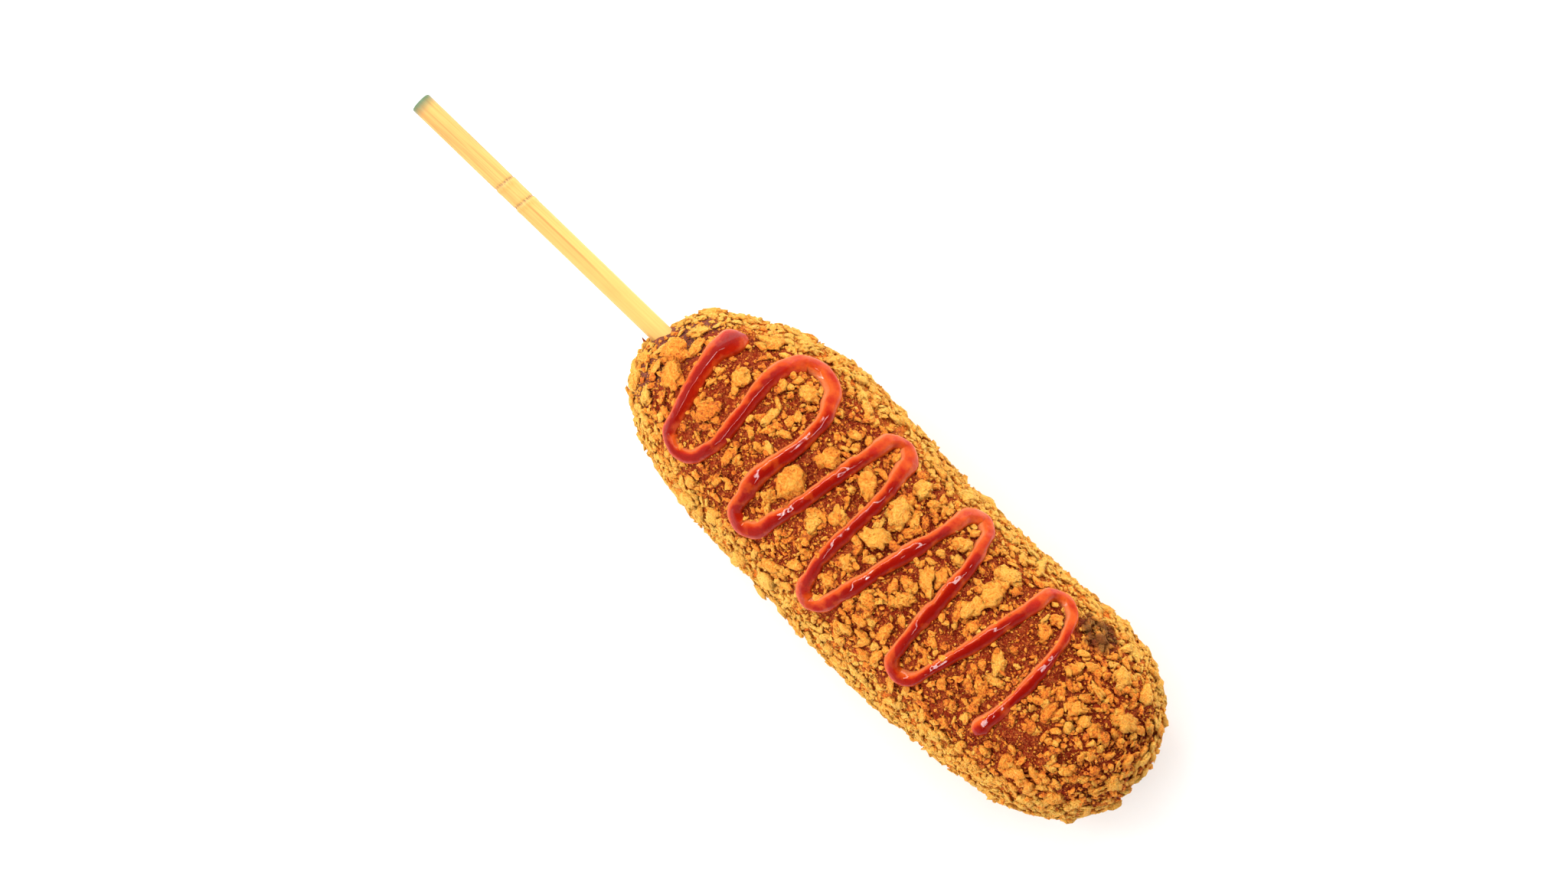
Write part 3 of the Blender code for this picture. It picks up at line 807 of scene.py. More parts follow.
def batter_finish(colours):
    """Dark, oily fried skin: brown-red in hollows, paler with fine stuck crumbs towards the sides."""
    made = Finish("fried batter")
    broad, fine = made.noise(0.005, 3.0), made.noise(0.0011, 4.0, 0.65, shift=3.0)
    grains = made.noise(0.00045, 2.0, 0.5, shift=7.0)
    side, charred = made.named("side"), made.named("charred")
    colour = made.mix(broad.rising(0.35, 0.65), colours.batter_dark, colours.batter_mid)
    crumby = (fine.rising(0.48, 0.60) * 0.55 + grains.rising(0.50, 0.64) * 0.6 + side * 0.75).clamped()
    colour = made.mix(crumby, colour, colours.batter_light)
    speckled = (side + grains.rising(0.58, 0.68) * 0.8).clamped()
    colour = made.mix((speckled * fine.rising(0.38, 0.62) + side * 0.4).clamped(), colour, colours.crumb_deep)
    colour = made.mix(made.named("bare") * fine.rising(0.70, 0.50), colour, colours.batter_bare)
    colour = made.mix(charred, colour, colours.charred)
    made.bump(fine, 0.0012)
    made.bump(grains, 0.0006)
    return made.surface(Base_Color=colour, Roughness=0.45 + fine * 0.3, Specular_IOR_Level=0.04)


def crumb_finish(colours):
    """Golden bread with pores, each crumb with its own tone, darker at its foot with painted shade and oil,
    and paler at its tips with painted light.
    """
    made = Finish("fried breadcrumb")
    tone, lift, charred = made.named("tone"), made.named("lift"), made.named("charred")
    pores, mottle = made.noise(0.00055, 3.0, 0.65), made.noise(0.0012, 3.0, 0.6, shift=5.0)
    # lift paints shade at each crumb's foot, where oil also darkens it, and paints light at its tips
    shade = (tone * 0.75 + (mottle - 0.5) * 0.8 + (pores - 0.5) * 1.5 + lift * 0.25).clamped()
    colour = made.mix(shade.rising(0.0, 0.28), colours.crumb_dull, colours.crumb_deep)
    colour = made.mix(shade.rising(0.22, 0.55), colour, colours.crumb_mid)
    colour = made.mix(shade.rising(0.5, 0.95), colour, colours.crumb_light)
    colour = made.mix(charred, colour, colours.charred)
    made.bump(mottle, 0.0010)
    made.bump(pores, 0.0012)
    return made.surface(
        Base_Color=colour,
        Roughness=0.75,
        Specular_IOR_Level=0.1,
        Subsurface_Weight=0.25,
        Subsurface_Radius=(1.0, 0.5, 0.2),
        Subsurface_Scale=0.0006,
    )


def ketchup_finish(colours):
    """Wet tomato sauce with a clear gloss: deep red where it is thick and as painted shade on the flank
    towards the tip, orange where it is thin and as painted light on the flank towards the stick, and a
    painted reflection at its rim.
    """
    made = Finish("wet ketchup")
    thick = made.named("thick")
    cloudy, fine = made.noise(0.0034, 2.5, shift=2.0), made.noise(0.0009, 3.0, 0.6, shift=4.0)
    # thin takes in the painted light on the flank towards the stick, besides the truly thin sauce
    thin = ((cloudy - 0.53) * 2.8 + (0.80 - thick) * 2.0 + (fine - 0.5) * 0.4).clamped()
    # the deep red also paints the shade on the flank towards the food's tip
    colour = made.mix(thick.rising(0.55, 0.95), colours.ketchup_mid, colours.ketchup_deep_and_shade)
    colour = made.mix(thin, colour, colours.ketchup_thin_and_lit)
    # the pale rim is a painted reflection along the ribbon's thin edges
    colour = made.mix(thick.rising(0.25, 0.0) * 0.55, colour, colours.ketchup_rim_reflection)
    made.bump(made.noise(0.0016, 2.0, 0.5, shift=6.0), 0.00035)
    made.bump(fine, 0.00012)
    return made.surface(
        Base_Color=colour,
        Roughness=0.5,
        Specular_IOR_Level=0.0,
        Coat_Weight=0.8,
        Coat_IOR=1.33,
        Coat_Roughness=0.06,
        Subsurface_Weight=0.3,
        Subsurface_Radius=(1.0, 0.15, 0.04),
        Subsurface_Scale=0.0016,
    )


def bamboo_finish(colours):
    """Split bamboo: long fibres, darker towards the free end, painted shade on the half towards -Y, a seam,
    two joint scars and a dyed end.
    """
    made = Finish("bamboo")
    along = made.axis_of(made.place, 0)
    streaks = made.noise(0.00042, 3.0, 0.6, stretch=(60.0, 1.0, 1.0))
    fibres = made.noise(0.00022, 2.0, 0.6, stretch=(110.0, 1.0, 1.0), shift=9.0)
    blotch = made.noise(0.006, 2.0, 0.5, stretch=(2.5, 1.0, 1.0), shift=1.0)
    beside = made.axis_of(made.place, 1) - along * math.tan(STICK_YAW) - stick_y(-BODY_X)
    from_end = along - STICK_FREE_END
    outer = from_end.rising(*OUTER_PART)
    # shaded is painted shade: the stick's half towards -Y is made darker
    shaded = beside.rising(0.0005, -0.0003)
    deep = streaks.rising(0.40, 0.70) * (outer * 0.5 + 0.25) + blotch.rising(0.5, 0.8) * 0.25
    deep = (deep + shaded * 0.28 + outer * 0.10).clamped()
    colour = made.mix(deep, colours.bamboo_pale, colours.bamboo_deep_and_shade)
    colour = made.mix(fibres.rising(0.52, 0.72) * (outer * 0.55 + 0.12), colour, colours.bamboo_fibre)
    seam = (beside - 0.0002 + (blotch - 0.5) * 0.0006).size().rising(0.00034, 0.00008)
    seam = seam * from_end.rising(*SEAM_FROM) * from_end.rising(*SEAM_TO)
    colour = made.mix(seam * 0.7, colour, colours.bamboo_fibre)
    for groove in NODE_GROOVES:
        off = from_end - groove + (streaks - 0.5) * 0.0008 - beside * 0.15
        scar = off.size().rising(0.0005, 0.0001)
        colour = made.mix(scar * fibres.rising(0.35, 0.6), colour, colours.bamboo_scar)
    dyed = (from_end + (streaks - 0.5) * 0.0014).rising(*DYED_END)
    colour = made.mix(dyed * 0.9, colour, colours.bamboo_dye)
    made.bump(streaks, 0.00012)
    return made.surface(Base_Color=colour, Roughness=0.5 + (fibres - 0.5) * 0.2, Specular_IOR_Level=0.4)


def stage_finish():
    """A matt pale floor that glows a little, as a lit table does."""
    made = Finish("pale floor")
    return made.surface(
        Base_Color=(0.95, 0.95, 0.94),
        Roughness=0.9,
        Specular_IOR_Level=0.0,
        Emission_Color=(1.0, 0.99, 0.97),
        Emission_Strength=0.03,
    )


def charred_at(points):
    """How burnt a place is: the charred patch, with a ragged edge."""
    x, y = points[..., 0] - BODY_X, points[..., 1]
    ragged = patch(x, y, *CHARRED_PATCH) + 0.6 * noise(points, 0.0021, 31) - 0.1
    return np.where(points[..., 2] > BODY_Z, CHARRED_SHARE * smoothstep(0.2, 0.9, ragged), 0.0)


def cover_at(points, angle, top_cover):
    """The share of the batter that crumbs hide: patchy on top, and thick at the sides and the far tip."""
    x, y = points[..., 0] - BODY_X, points[..., 1]
    top = top_cover + layered_noise(points, COVER_PATCHES, 17)
    top = top + (TIP_COVER - top_cover) * smoothstep(*TIP_COVER_FROM, x)
    cover = top + (1.0 - top) * smoothstep(*COVERED_SIDES_FROM, np.cos(angle))
    for bare in BARE_PATCHES:
        cover = cover * (1.0 - BARE_PATCH_LOSS * patch(x, y, *bare) * (points[..., 2] > BODY_Z))
    return np.clip(cover, LEAST_COVER, 1.0)


def with_tips(values, near, far):
    """A value for each point of a closed grid, from those of its rings and of its two poles."""
    return np.append(values.ravel(), (near, far))


def batter_piece(sizes, colours):
    """The batter: the body's surface on a grid of outline length and angle.

    Each point is moved along its outward direction by three sizes of noise, less so underneath, and by a
    Gaussian ring of batter round the stick. Half the sum of its height and of the root of its height squared
    plus a small square then sets the underside on the floor.
    """
    walked = np.linspace(0.0, OUTLINE_WALKED[-1], BATTER_ROWS + 2)[1:-1, None]
    angle = np.linspace(0.0, 2.0 * np.pi, BATTER_SIDES, endpoint=False)[None, :]
    walked, angle = np.broadcast_arrays(walked, angle)
    points, outward = on_batter(walked, angle)
    x = points[..., 0] - BODY_X
    crag = layered_noise(points, CRAGS, 1) * np.minimum(1.0, UNDERSIDE_CRAGS + 1.0 + np.cos(angle))
    collar = bell(from_stick(points), COLLAR_RADIUS, COLLAR_WIDTH) * smoothstep(*COLLAR_FADE, x)
    moved = points + (sizes.crag_height * crag + sizes.collar_height * collar)[..., None] * outward
    height = moved[..., 2]
    moved[..., 2] = 0.5 * (height + np.sqrt(height**2 + UNDERSIDE_SOFTNESS**2))
    near_tip = (BODY_X + NEAR_END, middle_line(NEAR_END), BODY_Z)
    far_tip = (BODY_X + FAR_END, middle_line(FAR_END), BODY_Z)
    rings, triangles = closed_grid(moved, near_tip, far_tip)
    bare = BARE_SKIN_SHARE * smoothstep(*BARE_SKIN_FROM, x + layered_noise(points, BARE_SKIN_WANDER, 33))
    side = smoothstep(*BATTER_SIDES_FROM, np.cos(angle)) * (1.0 - bare)
    values = {
        "side": with_tips(side, 0.0, 1.0),
        "charred": with_tips(charred_at(points), 0.0, 0.0),
        "bare": with_tips(bare, BARE_SKIN_SHARE, 0.0),
    }
    return new_piece("fried_batter", rings, triangles, batter_finish(colours), True, values)


def spiral_places(count, seed, jitter):
    """Outline lengths and angles spread evenly over the body's area: a golden-angle spiral, then jittered."""
    draw = np.random.default_rng(seed)
    share = (np.arange(count) + 0.5) / count
    walked = np.interp(share * OUTLINE_AREA[-1], OUTLINE_AREA, OUTLINE_WALKED)
    spacing = jitter * math.sqrt(2.0 * math.pi * OUTLINE_AREA[-1] / count)
    walked = walked + spacing * draw.normal(size=count)
    walked = np.clip(walked, PLACE_MARGIN, OUTLINE_WALKED[-1] - PLACE_MARGIN)
    x = np.interp(walked, OUTLINE_WALKED, OUTLINE_X)
    radius = np.maximum(HALF_WIDTH * girth(x), LEAST_RADIUS)
    angle = np.arange(count) * GOLDEN_ANGLE + spacing * draw.normal(size=count) / radius
    return walked, angle % (2.0 * math.pi)


def off_ketchup(points):
    """How far each point is from the ketchup's line, seen from above, and far off below the middle.

    The points are taken a few thousand at a time, so that the table of distances stays small.
    """
    line = ketchup_line(KETCHUP_GUIDE_STEP)
    flat = np.stack([points[:, 0] - BODY_X, points[:, 1]], -1)
    nearest = np.empty(len(flat))
    for part in np.array_split(np.arange(len(flat)), max(1, len(flat) // POINTS_AT_ONCE)):
        nearest[part] = np.linalg.norm(flat[part, None] - line[None], axis=-1).min(axis=1)
    return np.where(points[:, 2] > BODY_Z, nearest, FAR_OFF)


def first_across(outward):
    """A direction in the surface for each outward direction: its cross product with +X, or +Y at the tips."""
    aside = np.where(np.abs(outward[:, :1]) < 0.9, (1.0, 0.0, 0.0), (0.0, 1.0, 0.0))
    return unit(np.cross(outward, aside))


def laid(shape, centres, outward, turn, lean, lean_turn, halves, reach):
    """Copies of a shape, each made uneven, scaled, turned about its outward direction and leant over.

    A point is its centre plus the shape's point, times its own reach, times the three half sizes, along two
    directions in the surface and the outward one.
    """
    points, faces = shape
    count = len(centres)
    first = first_across(outward)
    second = np.cross(outward, first)
    along = np.cos(turn)[:, None] * first + np.sin(turn)[:, None] * second
    leaning = np.cos(lean_turn)[:, None] * first + np.sin(lean_turn)[:, None] * second
    up = unit(outward + np.tan(lean)[:, None] * leaning)
    along = unit(along - np.einsum("ij,ij->i", along, up)[:, None] * up)
    across = np.cross(up, along)
    local = points[None] * reach[..., None] * halves[:, None, :]
    axes = np.stack([along, across, up], 1)
    placed = centres[:, None, :] + np.einsum("nvk,nkj->nvj", local, axes)
    triangles = faces[None] + (np.arange(count) * len(points))[:, None, None]
    return placed, triangles.reshape(-1, 3)


def crumb_piece(name, shape, centres, outward, turn, lean, lean_turn, halves, reach, tone, smooth, finish):
    """One kind of breadcrumb as one mesh, with each crumb's tone, and each point's height over the batter."""
    placed, triangles = laid(shape, centres, outward, turn, lean, lean_turn, halves, reach)
    lift = np.einsum("nvj,nj->nv", placed - centres[:, None, :], outward) / halves[:, 2:]
    placed[..., 2] = np.maximum(placed[..., 2], 0.0)
    points = placed.reshape(-1, 3)
    values = {
        "tone": np.repeat(tone, placed.shape[1]),
        # lift drives the painted shade at a crumb's foot and the painted light at its tips
        "lift": np.clip(0.5 + 0.5 * lift, 0.0, 1.0).ravel(),
        "charred": charred_at(points),
    }
    return new_piece(name, points, triangles, finish, smooth, values)


def drawn_tones(draw, tones, upward):
    """A tone from 0 to 1 for each crumb: a normal draw, lowered by painted shade where the surface faces up.
    """
    middle, spread, lower = tones
    # the lower tone on top is painted shade against the stronger light from above
    tone = draw.normal(middle, spread, len(upward)) - lower * smoothstep(*PAINTED_TOP_SHADE_FROM, upward)
    return np.clip(tone, 0.0, 1.0)


def flake_piece(name, shape, centres, outward, length, width, turn, tones, draw, seed, finish):
    """Flakes of one kind: flattened balls whose points go out and in by noise, so that each looks torn."""
    count = len(centres)
    own = shape[0][None] + draw.uniform(0.0, NOISE_ROOM, (count, 1, 3))
    reach = 1.0 + FLAKE_JAG * draw.uniform(-1.0, 1.0, (count, len(shape[0])))
    reach = reach + layered_noise(own, FLAKE_LOBES, seed)
    thickness = width * draw.uniform(*FLAKE_THICKNESS, count)
    halves = 0.5 * np.stack([length, width, thickness], -1)
    raised = centres + (FLAKE_RISE + draw.uniform(*FLAKE_OUT, count) * thickness)[:, None] * outward
    tone = drawn_tones(draw, tones, outward[:, 2])
    lean = draw.normal(0.0, FLAKE_LEAN, count)
    lean_turn = draw.uniform(0.0, 2.0 * np.pi, count)
    places = (raised, outward, turn, lean, lean_turn)
    return crumb_piece(name, shape, *places, halves, reach, tone, True, finish)


def in_surface(outward, heading):
    """The angle of a heading in each place's own surface, as laid turns a shape: 0 along first_across."""
    first = first_across(outward)
    second = np.cross(outward, first)
    return np.arctan2(np.einsum("ij,ij->i", heading, second), np.einsum("ij,ij->i", heading, first))


def free_places(candidates, seed, length, sizes):
    """The points of spiral places, and which of them may hold crumbs of the given lengths.

    They are thinned by the cover, and kept clear of the ketchup, the stick and the floor.
    """
    walked, angle = candidates
    points, _ = on_batter(walked, angle)
    draw = np.random.default_rng(seed)
    keep = draw.random(len(walked)) < cover_at(points, angle, sizes.top_cover)
    keep &= off_ketchup(points) > RIBBON_CLEARANCE * sizes.ketchup_half_width + RIBBON_SHARE * length
    keep &= points[:, 2] > FLOOR_SHARE * length
    return points, keep & (from_stick(points) > STICK_CLEARANCE + STICK_SHARE * length)


def large_crumbs(sizes, finish):
    """The flakes seen first: the listed ones, and the spiral's ones that keep clear of them."""
    draw = np.random.default_rng(41)
    marks = np.array(LANDMARK_CRUMBS, float)
    mark_place, mark_length, mark_width = marks[:, :2] * MM, marks[:, 2] * MM, marks[:, 3] * MM
    candidates = spiral_places(int(sizes.large_crumbs * LARGE_SPARE), 42, LARGE_JITTER)
    shortest, longest = LARGE_LENGTHS
    grown = 1.0 - draw.power(LARGE_LENGTH_POWER, len(candidates[0]))
    length = (shortest + (longest - shortest) * grown) * MM
    width = length * draw.uniform(*LARGE_SLIMNESS, len(length))
    points, keep = free_places(candidates, 43, length, sizes)
    flat = np.stack([points[:, 0] - BODY_X, points[:, 1]], -1)
    gaps = np.linalg.norm(flat[:, None] - mark_place[None], axis=-1)
    near_mark = (gaps < 0.5 * (length[:, None] + mark_length[None]) + LANDMARK_GAP).any(axis=1)
    keep &= ~(near_mark & (points[:, 2] > BODY_Z))
    chosen = draw.permutation(np.flatnonzero(keep))[: sizes.large_crumbs]
    centres, outward = on_batter(walked_to(mark_place[:, 0]), angle_above(*mark_place.T))
    wanted = np.radians(marks[:, 4])
    heading = np.stack([np.cos(wanted), np.sin(wanted), np.zeros(len(wanted))], -1)
    flakes = (centres, outward, mark_length, mark_width, in_surface(outward, heading))
    placed = flake_piece("placed_crumbs", ball(2), *flakes, LARGE_TONES, draw, 44, finish)
    centres, outward = on_batter(candidates[0][chosen], candidates[1][chosen])
    turn = draw.uniform(0.0, np.pi, len(chosen))
    flakes = (centres, outward, length[chosen], width[chosen], turn)
    return placed, flake_piece("large_crumbs", ball(1), *flakes, LARGE_TONES, draw, 46, finish)


def torn_crumbs(sizes, finish):
    """Smaller flakes all over."""
    draw = np.random.default_rng(61)
    candidates = spiral_places(int(sizes.torn_crumbs * TORN_SPARE), 62, TORN_JITTER)
    length = draw.uniform(*TORN_LENGTHS, len(candidates[0])) * MM
    width = length * draw.uniform(*TORN_SLIMNESS, len(length))
    _, keep = free_places(candidates, 63, length, sizes)
    chosen = draw.permutation(np.flatnonzero(keep))[: sizes.torn_crumbs]
    centres, outward = on_batter(candidates[0][chosen], candidates[1][chosen])
    turn = draw.uniform(0.0, np.pi, len(chosen))
    flakes = (centres, outward, length[chosen], width[chosen], turn)
    return flake_piece("torn_crumbs", ball(1), *flakes, TORN_TONES, draw, 64, finish)


def loose_crumbs(name, level, lengths, seed, flatness, jag, tones, out, fill, sizes, finish):
    """A kind of loose crumb over the whole batter, and none under the food.

    There are more where the cover is thick. The fill says how far the kind also fills the thin places.
    """
    draw = np.random.default_rng(seed)
    shape = ball(level, octahedral=True)
    wanted = getattr(sizes, name)
    shortest, longest = (length * MM for length in lengths)
    walked, angle = spiral_places(wanted * 2, seed + 1, LOOSE_JITTER)
    points, outward = on_batter(walked, angle)
    cover = cover_at(points, angle, sizes.top_cover)
    keep = draw.random(len(walked)) < cover + (1.0 - cover) * fill
    keep &= points[:, 2] > LOOSE_FLOOR_CLEARANCE
    keep &= from_stick(points) > STICK_CLEARANCE + LOOSE_STICK_SHARE * longest
    chosen = draw.permutation(np.flatnonzero(keep))[:wanted]
    count = len(chosen)
    points, outward = points[chosen], outward[chosen]
    length = shortest + (longest - shortest) * draw.power(LOOSE_LENGTH_POWER, count)
    slimness, height = draw.uniform(*LOOSE_SLIMNESS, count), draw.uniform(*flatness, count)
    halves = 0.5 * length[:, None] * np.stack([np.ones(count), slimness, height], -1)
    crag = layered_noise(points, CRAGS[:2], 1)
    raised = sizes.crag_height * crag + halves[:, 2] * draw.uniform(*out, count)
    centres = points + raised[:, None] * outward
    tone = drawn_tones(draw, tones, np.cos(angle[chosen]))
    turn, lean_turn = draw.uniform(0.0, 2.0 * np.pi, (2, count))
    lean = draw.normal(0.0, LOOSE_LEAN, count)
    reach = 1.0 + jag * draw.uniform(-1.0, 1.0, (count, len(shape[0])))
    places = (centres, outward, turn, lean, lean_turn)
    return crumb_piece(name, shape, *places, halves, reach, tone, False, finish)


def ribbon_width(share, y, half_width):
    """Half the ribbon's width at each share of its line, before its ends are closed.

    It surges in two sine waves, swells in the bends and thins towards the end. Each end has a Gaussian blob.
    """
    flow = 1.0 + sum(surge * np.sin(waves * share + phase) for surge, waves, phase in KETCHUP_SURGES)
    bends = KETCHUP_BEND_SWELL * smoothstep(*KETCHUP_BENDS, np.abs(y)) - KETCHUP_ARM_LOSS
    (head, head_reach), (tail, tail_reach) = KETCHUP_BLOBS
    blobs = head * bell(share, 0.0, head_reach) + tail * bell(share, 1.0, tail_reach)
    return half_width * ((flow + bends) * (1.0 - KETCHUP_TAPER * share) + blobs)


def ribbon_depth_and_shade(across, far_side, y):
    """How thick the sauce looks, from 0 to 1: a parabola across the ribbon, made fuller towards the food's
    tip as painted shade and thinner towards the stick as painted light.

    It is thinner in the bends, where the sauce ran down the food's sides.
    """
    # far_side paints shade on the flank towards the tip, as deeper red, and light on the flank towards the
    # stick, as orange
    full = (1.0 - across**2 * (1.0 - 0.6 * far_side)) * (0.92 + 0.15 * far_side)
    thinned = sum(loss * smoothstep(start, end, y) for loss, start, end in KETCHUP_THINNED)
    return np.clip(full, 0.0, 1.0) * (1.0 - thinned)[:, None]


def ketchup_piece(sizes, colours):
    """The ketchup: a low dome carried along its line over the batter.

    Across the ribbon the height is the half circle's, flattened, with a soft ridge on the side towards the
    food's tip, where the sauce is thickest. The two edges wander with their own noise, the ends close in a
    half round, and the whole is lumpy.
    """
    line = ketchup_line(KETCHUP_STEP)
    walked_line = np.concatenate(([0.0], np.cumsum(np.linalg.norm(np.diff(line, axis=0), axis=1))))
    x, y = line.T
    points, outward = on_batter(walked_to(x), angle_above(x, y))
    aside = unit(np.cross(unit(np.gradient(points, axis=0)), outward))
    width = ribbon_width(walked_line / walked_line[-1], y, sizes.ketchup_half_width)
    from_end = np.minimum(walked_line, walked_line[-1] - walked_line)
    tip = np.sqrt(1.0 - (1.0 - np.clip(from_end / (KETCHUP_END_ROUND * width), 0.0, 1.0)) ** 2)
    place = walked_line[:, None] * np.array([1.0, 0.0, 0.0])
    left = width * tip * (1.0 + layered_noise(place, KETCHUP_EDGES, 51))
    right = width * tip * (1.0 + layered_noise(place + 0.5, KETCHUP_EDGES, 53))
    turn = np.linspace(0.0, 2.0 * np.pi, KETCHUP_SIDES, endpoint=False)[None, :]
    across = np.sign(np.cos(turn)) * np.abs(np.cos(turn)) ** 0.85
    reach = np.where(across > 0.0, right[:, None], left[:, None]) * across
    dome = np.clip(np.sin(turn), 0.0, 1.0) ** 0.8
    far_side = across * aside[:, :1]
    ridge = KETCHUP_RIDGE * bell(far_side, KETCHUP_RIDGE_AT, KETCHUP_RIDGE_WIDTH) * dome
    height = sizes.ketchup_height * np.minimum(1.15, 0.35 + 0.65 * width / sizes.ketchup_half_width)
    rise = height[:, None] * (dome + ridge) * tip[:, None] ** 0.7
    sink = sizes.ketchup_sunk * np.clip(-np.sin(turn), 0.0, 1.0) ** 0.6
    up = outward[:, None, :]
    body = points[:, None, :] + reach[..., None] * aside[:, None, :] + (rise - sink)[..., None] * up
    body = body + (layered_noise(body, KETCHUP_LUMPS, 61) * dome)[..., None] * up
    rings, triangles = closed_grid(body, points[0], points[-1])
    # thick carries painted shade on the flank towards the tip and painted light on the flank towards the
    # stick
    values = {"thick": with_tips(ribbon_depth_and_shade(across, far_side, y), 0.5, 0.5)}
    return new_piece("ketchup_ribbon", rings, triangles, ketchup_finish(colours), True, values)


def batter_drip(finish):
    """A thin thorn of batter beside the stick: circles that shrink along a slightly bent line."""
    share = np.linspace(0.0, 1.0, DRIP_ROWS + 1)[:-1, None]
    at_stick = np.array([BODY_X, stick_y(NEAR_END), STICK_Z])
    base, tip = at_stick + DRIP_BASE, at_stick + DRIP_TIP
    middle = base + share * (tip - base) - DRIP_BEND * np.sin(np.pi * share) * np.array([0.0, 1.0, 0.0])
    radius = DRIP_RADIUS * (1.0 - share) ** 0.9 * (1.0 + 0.2 * np.sin(9.0 * share))
    turn = np.linspace(0.0, 2.0 * np.pi, DRIP_SIDES, endpoint=False)[None, :]
    circle = np.stack([np.zeros_like(turn), np.sin(turn), np.cos(turn)], -1)
    points, triangles = closed_grid(middle[:, None, :] + radius[..., None] * circle, base, tip)
    zero = np.zeros(len(points))
    values = {"side": zero, "bare": zero, "charred": zero + DRIP_CHARRED}
    return new_piece("batter_drip", points, triangles, finish, True, values)


def stick_piece(colours):
    """The stick: a rounded square carried along its line, with chamfered ends, two joint scars and fibres.

    Round the stick the reach is the superellipse's. Along it each scar is a Gaussian dip with a bulge beside
    it, a tenth of a millimetre or so, and fine noise that is long in x raises the fibres.
    """
    lowest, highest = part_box("bamboo_stick")
    length = (highest.x - lowest.x) / math.cos(STICK_YAW) - 2.0 * STICK_CHAMFER * math.sin(-STICK_YAW)
    half = 0.5 * STICK_WIDTH
    ends = np.linspace(0.0, STICK_END, STICK_END_ROWS)
    shaft = np.linspace(STICK_FINE_END, length - STICK_FINE_END, STICK_ROWS)
    along = np.concatenate([ends, shaft, length - ends[::-1]])[:, None]
    turn = np.linspace(0.0, 2.0 * np.pi, STICK_SIDES, endpoint=False)[None, :]
    cos, sin = np.cos(turn), np.sin(turn)
    square = (np.abs(cos) ** STICK_SQUARENESS + np.abs(sin) ** STICK_SQUARENESS) ** (-1.0 / STICK_SQUARENESS)
    from_end = np.minimum(along, length - along)
    rounding = np.clip(1.0 - from_end / STICK_CHAMFER, 0.0, 1.0)
    reach = half - STICK_CHAMFER * (1.0 - np.sqrt(1.0 - rounding**2))
    around = np.stack(np.broadcast_arrays(along / FIBRE_STRETCH, half * cos, half * sin), -1)
    relief = layered_noise(around, FIBRES, 71)
    (dip, dip_width), (bulge, bulge_width) = SCAR_DIP, SCAR_BULGE
    for groove in NODE_GROOVES:
        off = along - groove - SCAR_SLANT * sin
        relief = relief - dip * bell(off, 0.0, dip_width) + bulge * bell(off, SCAR_BULGE_OFF, bulge_width)
    reach = (reach + relief * np.minimum(1.0, from_end / MM)) * square
    local = np.stack(np.broadcast_arrays(along, reach * sin, reach * cos), -1)
    ahead = np.array([math.cos(STICK_YAW), math.sin(STICK_YAW), 0.0])
    axes = np.stack([ahead, np.cross((0.0, 0.0, 1.0), ahead), (0.0, 0.0, 1.0)])
    start = np.array([STICK_FREE_END, stick_y(STICK_FREE_END - BODY_X), STICK_Z])
    points, triangles = closed_grid(local @ axes + start, start, start + length * ahead)
    return new_piece("bamboo_stick_fine", points, triangles, bamboo_finish(colours), True)


def carried(piece, node):
    """Fixes a finished piece to the part's one body, as what stands for one of its solids."""
    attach(piece, "root")
    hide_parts(node)


class CORNDOG_OT_batter(bpy.types.Operator):
    """Make the fried batter and the thin drip of it beside the stick"""

    bl_idname = "corndog.batter"
    bl_label = "Fried Batter"

    def execute(self, context):
        scene = context.scene
        batter = batter_piece(scene.corn_dog_sizes, scene.corn_dog_colours)
        drip = batter_drip(batter.data.materials[0])
        for piece in (batter, drip):
            carried(piece, "breaded_body")
        return {"FINISHED"}


class CORNDOG_OT_crumbs(bpy.types.Operator):
    """Make the breadcrumbs, one mesh for each kind"""

    bl_idname = "corndog.crumbs"
    bl_label = "Breadcrumbs"

    def execute(self, context):
        sizes = context.scene.corn_dog_sizes
        finish = crumb_finish(context.scene.corn_dog_colours)
        made = [*large_crumbs(sizes, finish), torn_crumbs(sizes, finish)]
        for name, kind in LOOSE_CRUMBS.items():
            made.append(loose_crumbs(name, sizes=sizes, finish=finish, **kind))
        for piece in made:
            carried(piece, "breaded_body")
        return {"FINISHED"}


class CORNDOG_OT_ketchup(bpy.types.Operator):
    """Make the zigzag of ketchup"""

    bl_idname = "corndog.ketchup"
    bl_label = "Ketchup"

    def execute(self, context):
        scene = context.scene
        piece = ketchup_piece(scene.corn_dog_sizes, scene.corn_dog_colours)
        carried(piece, "breaded_body")
        return {"FINISHED"}


class CORNDOG_OT_stick(bpy.types.Operator):
    """Make the bamboo stick"""

    bl_idname = "corndog.stick"
    bl_label = "Bamboo Stick"

    def execute(self, context):
        carried(stick_piece(context.scene.corn_dog_colours), "bamboo_stick")
        return {"FINISHED"}


def studio_world():
    """White walls all round the low part of the room, and a dim ceiling above the camera."""
    world = bpy.data.worlds.new("studio")
    world.use_nodes = True
    made = Nodes(world.node_tree)
    direction = made.node("ShaderNodeTexCoord").outputs["Generated"]
    wall = made.axis_of(direction, 2).rising(CEILING_FROM, WALL_TO)
    wall = wall * (1.0 - made.axis_of(direction, 0).rising(*FAR_WALL) * FAR_WALL_DIMMING)
    brightness = CEILING_STRENGTH + wall * (WALL_STRENGTH - CEILING_STRENGTH)
    connect(made.tree, made.tree.nodes["Background"].inputs["Strength"], brightness)
    connect(made.tree, made.tree.nodes["Background"].inputs["Color"], (1.0, 1.0, 1.0))
    return world


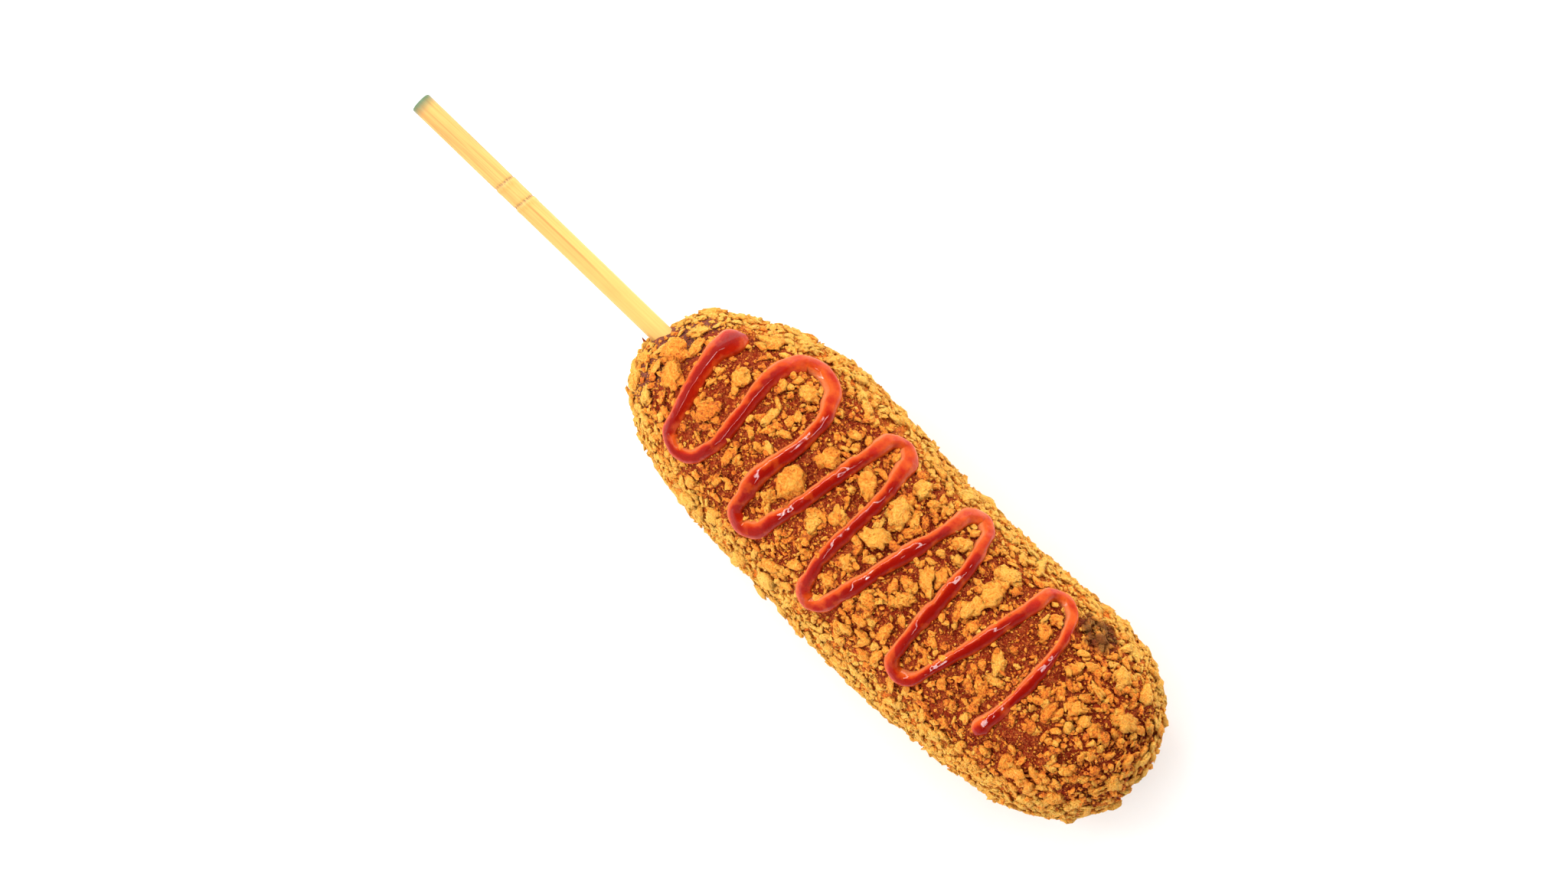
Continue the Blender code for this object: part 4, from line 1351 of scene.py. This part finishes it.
def floor_disc():
    """One flat round face, a tenth of a millimetre under the food."""
    turn = np.linspace(0.0, 2.0 * np.pi, FLOOR_SIDES, endpoint=False)
    drop = np.full_like(turn, -FLOOR_DROP)
    rim = np.stack([FLOOR_RADIUS * np.cos(turn), FLOOR_RADIUS * np.sin(turn), drop], -1)
    mesh = bpy.data.meshes.new("floor")
    mesh.from_pydata(rim.tolist(), [], [list(range(FLOOR_SIDES))])
    mesh.materials.append(stage_finish())
    floor = bpy.data.objects.new("floor", mesh)
    bpy.context.scene.collection.objects.link(floor)
    return floor


def soft_light(name, place, size, power):
    """A rectangular lamp at a place, turned to face the food."""
    lamp = bpy.data.lights.new(name, "AREA")
    lamp.shape = "RECTANGLE"
    lamp.size, lamp.size_y = size
    lamp.energy = power
    lit = bpy.data.objects.new(name, lamp)
    bpy.context.scene.collection.objects.link(lit)
    lit.location = place
    lit.visible_glossy = name not in UNREFLECTED_LIGHTS
    lit.rotation_euler = (Vector(LIGHT_AIM) - Vector(place)).to_track_quat("-Z", "Y").to_euler()


class CORNDOG_OT_stage(bpy.types.Operator):
    """Make the pale floor, the soft light and the camera"""

    bl_idname = "corndog.stage"
    bl_label = "Floor, Light and Camera"

    def execute(self, context):
        scene = context.scene
        floor_disc()
        scene.world = studio_world()
        for name, azimuth, height, reach, size, power in LIGHTS:
            angle = math.radians(azimuth)
            soft_light(name, (reach * math.cos(angle), reach * math.sin(angle), height), size, power)
        camera = bpy.data.cameras.new("camera")
        camera.lens = CAMERA_LENS
        camera.clip_start, camera.clip_end = CAMERA_CLIP
        seen = bpy.data.objects.new("camera", camera)
        scene.collection.objects.link(seen)
        x, y, z = CAMERA_TARGET
        seen.location = (x, y, z + CAMERA_DISTANCE)
        seen.rotation_euler = (0.0, 0.0, CAMERA_TURN)
        scene.camera = seen
        scene.view_settings.view_transform = "Standard"
        return {"FINISHED"}


class CORNDOG_PT_panel(bpy.types.Panel):
    """The corn dog's pieces, sizes and colours"""

    bl_label = "Corn Dog"
    bl_idname = "CORNDOG_PT_panel"
    bl_space_type = "VIEW_3D"
    bl_region_type = "UI"
    bl_category = "Corn Dog"

    def draw(self, context):
        for operator in OPERATORS:
            self.layout.operator(operator.bl_idname)
        for group in (context.scene.corn_dog_sizes, context.scene.corn_dog_colours):
            box = self.layout.box()
            for key in group.__annotations__:
                box.prop(group, key)


OPERATORS = (CORNDOG_OT_batter, CORNDOG_OT_crumbs, CORNDOG_OT_ketchup, CORNDOG_OT_stick, CORNDOG_OT_stage)
CLASSES = (CornDogSizes, CornDogColours, *OPERATORS, CORNDOG_PT_panel)


def register():
    """Makes the classes known to Blender and gives each scene its sizes and colours."""
    for cls in CLASSES:
        bpy.utils.register_class(cls)
    bpy.types.Scene.corn_dog_sizes = PointerProperty(type=CornDogSizes)
    bpy.types.Scene.corn_dog_colours = PointerProperty(type=CornDogColours)


def unregister():
    """Takes back what register did."""
    del bpy.types.Scene.corn_dog_colours
    del bpy.types.Scene.corn_dog_sizes
    for cls in reversed(CLASSES):
        bpy.utils.unregister_class(cls)


def main():
    """Makes the pieces and the stage in order."""
    register()
    bpy.ops.corndog.batter()
    bpy.ops.corndog.crumbs()
    bpy.ops.corndog.ketchup()
    bpy.ops.corndog.stick()
    bpy.ops.corndog.stage()


if __name__ == "__main__":
    main()
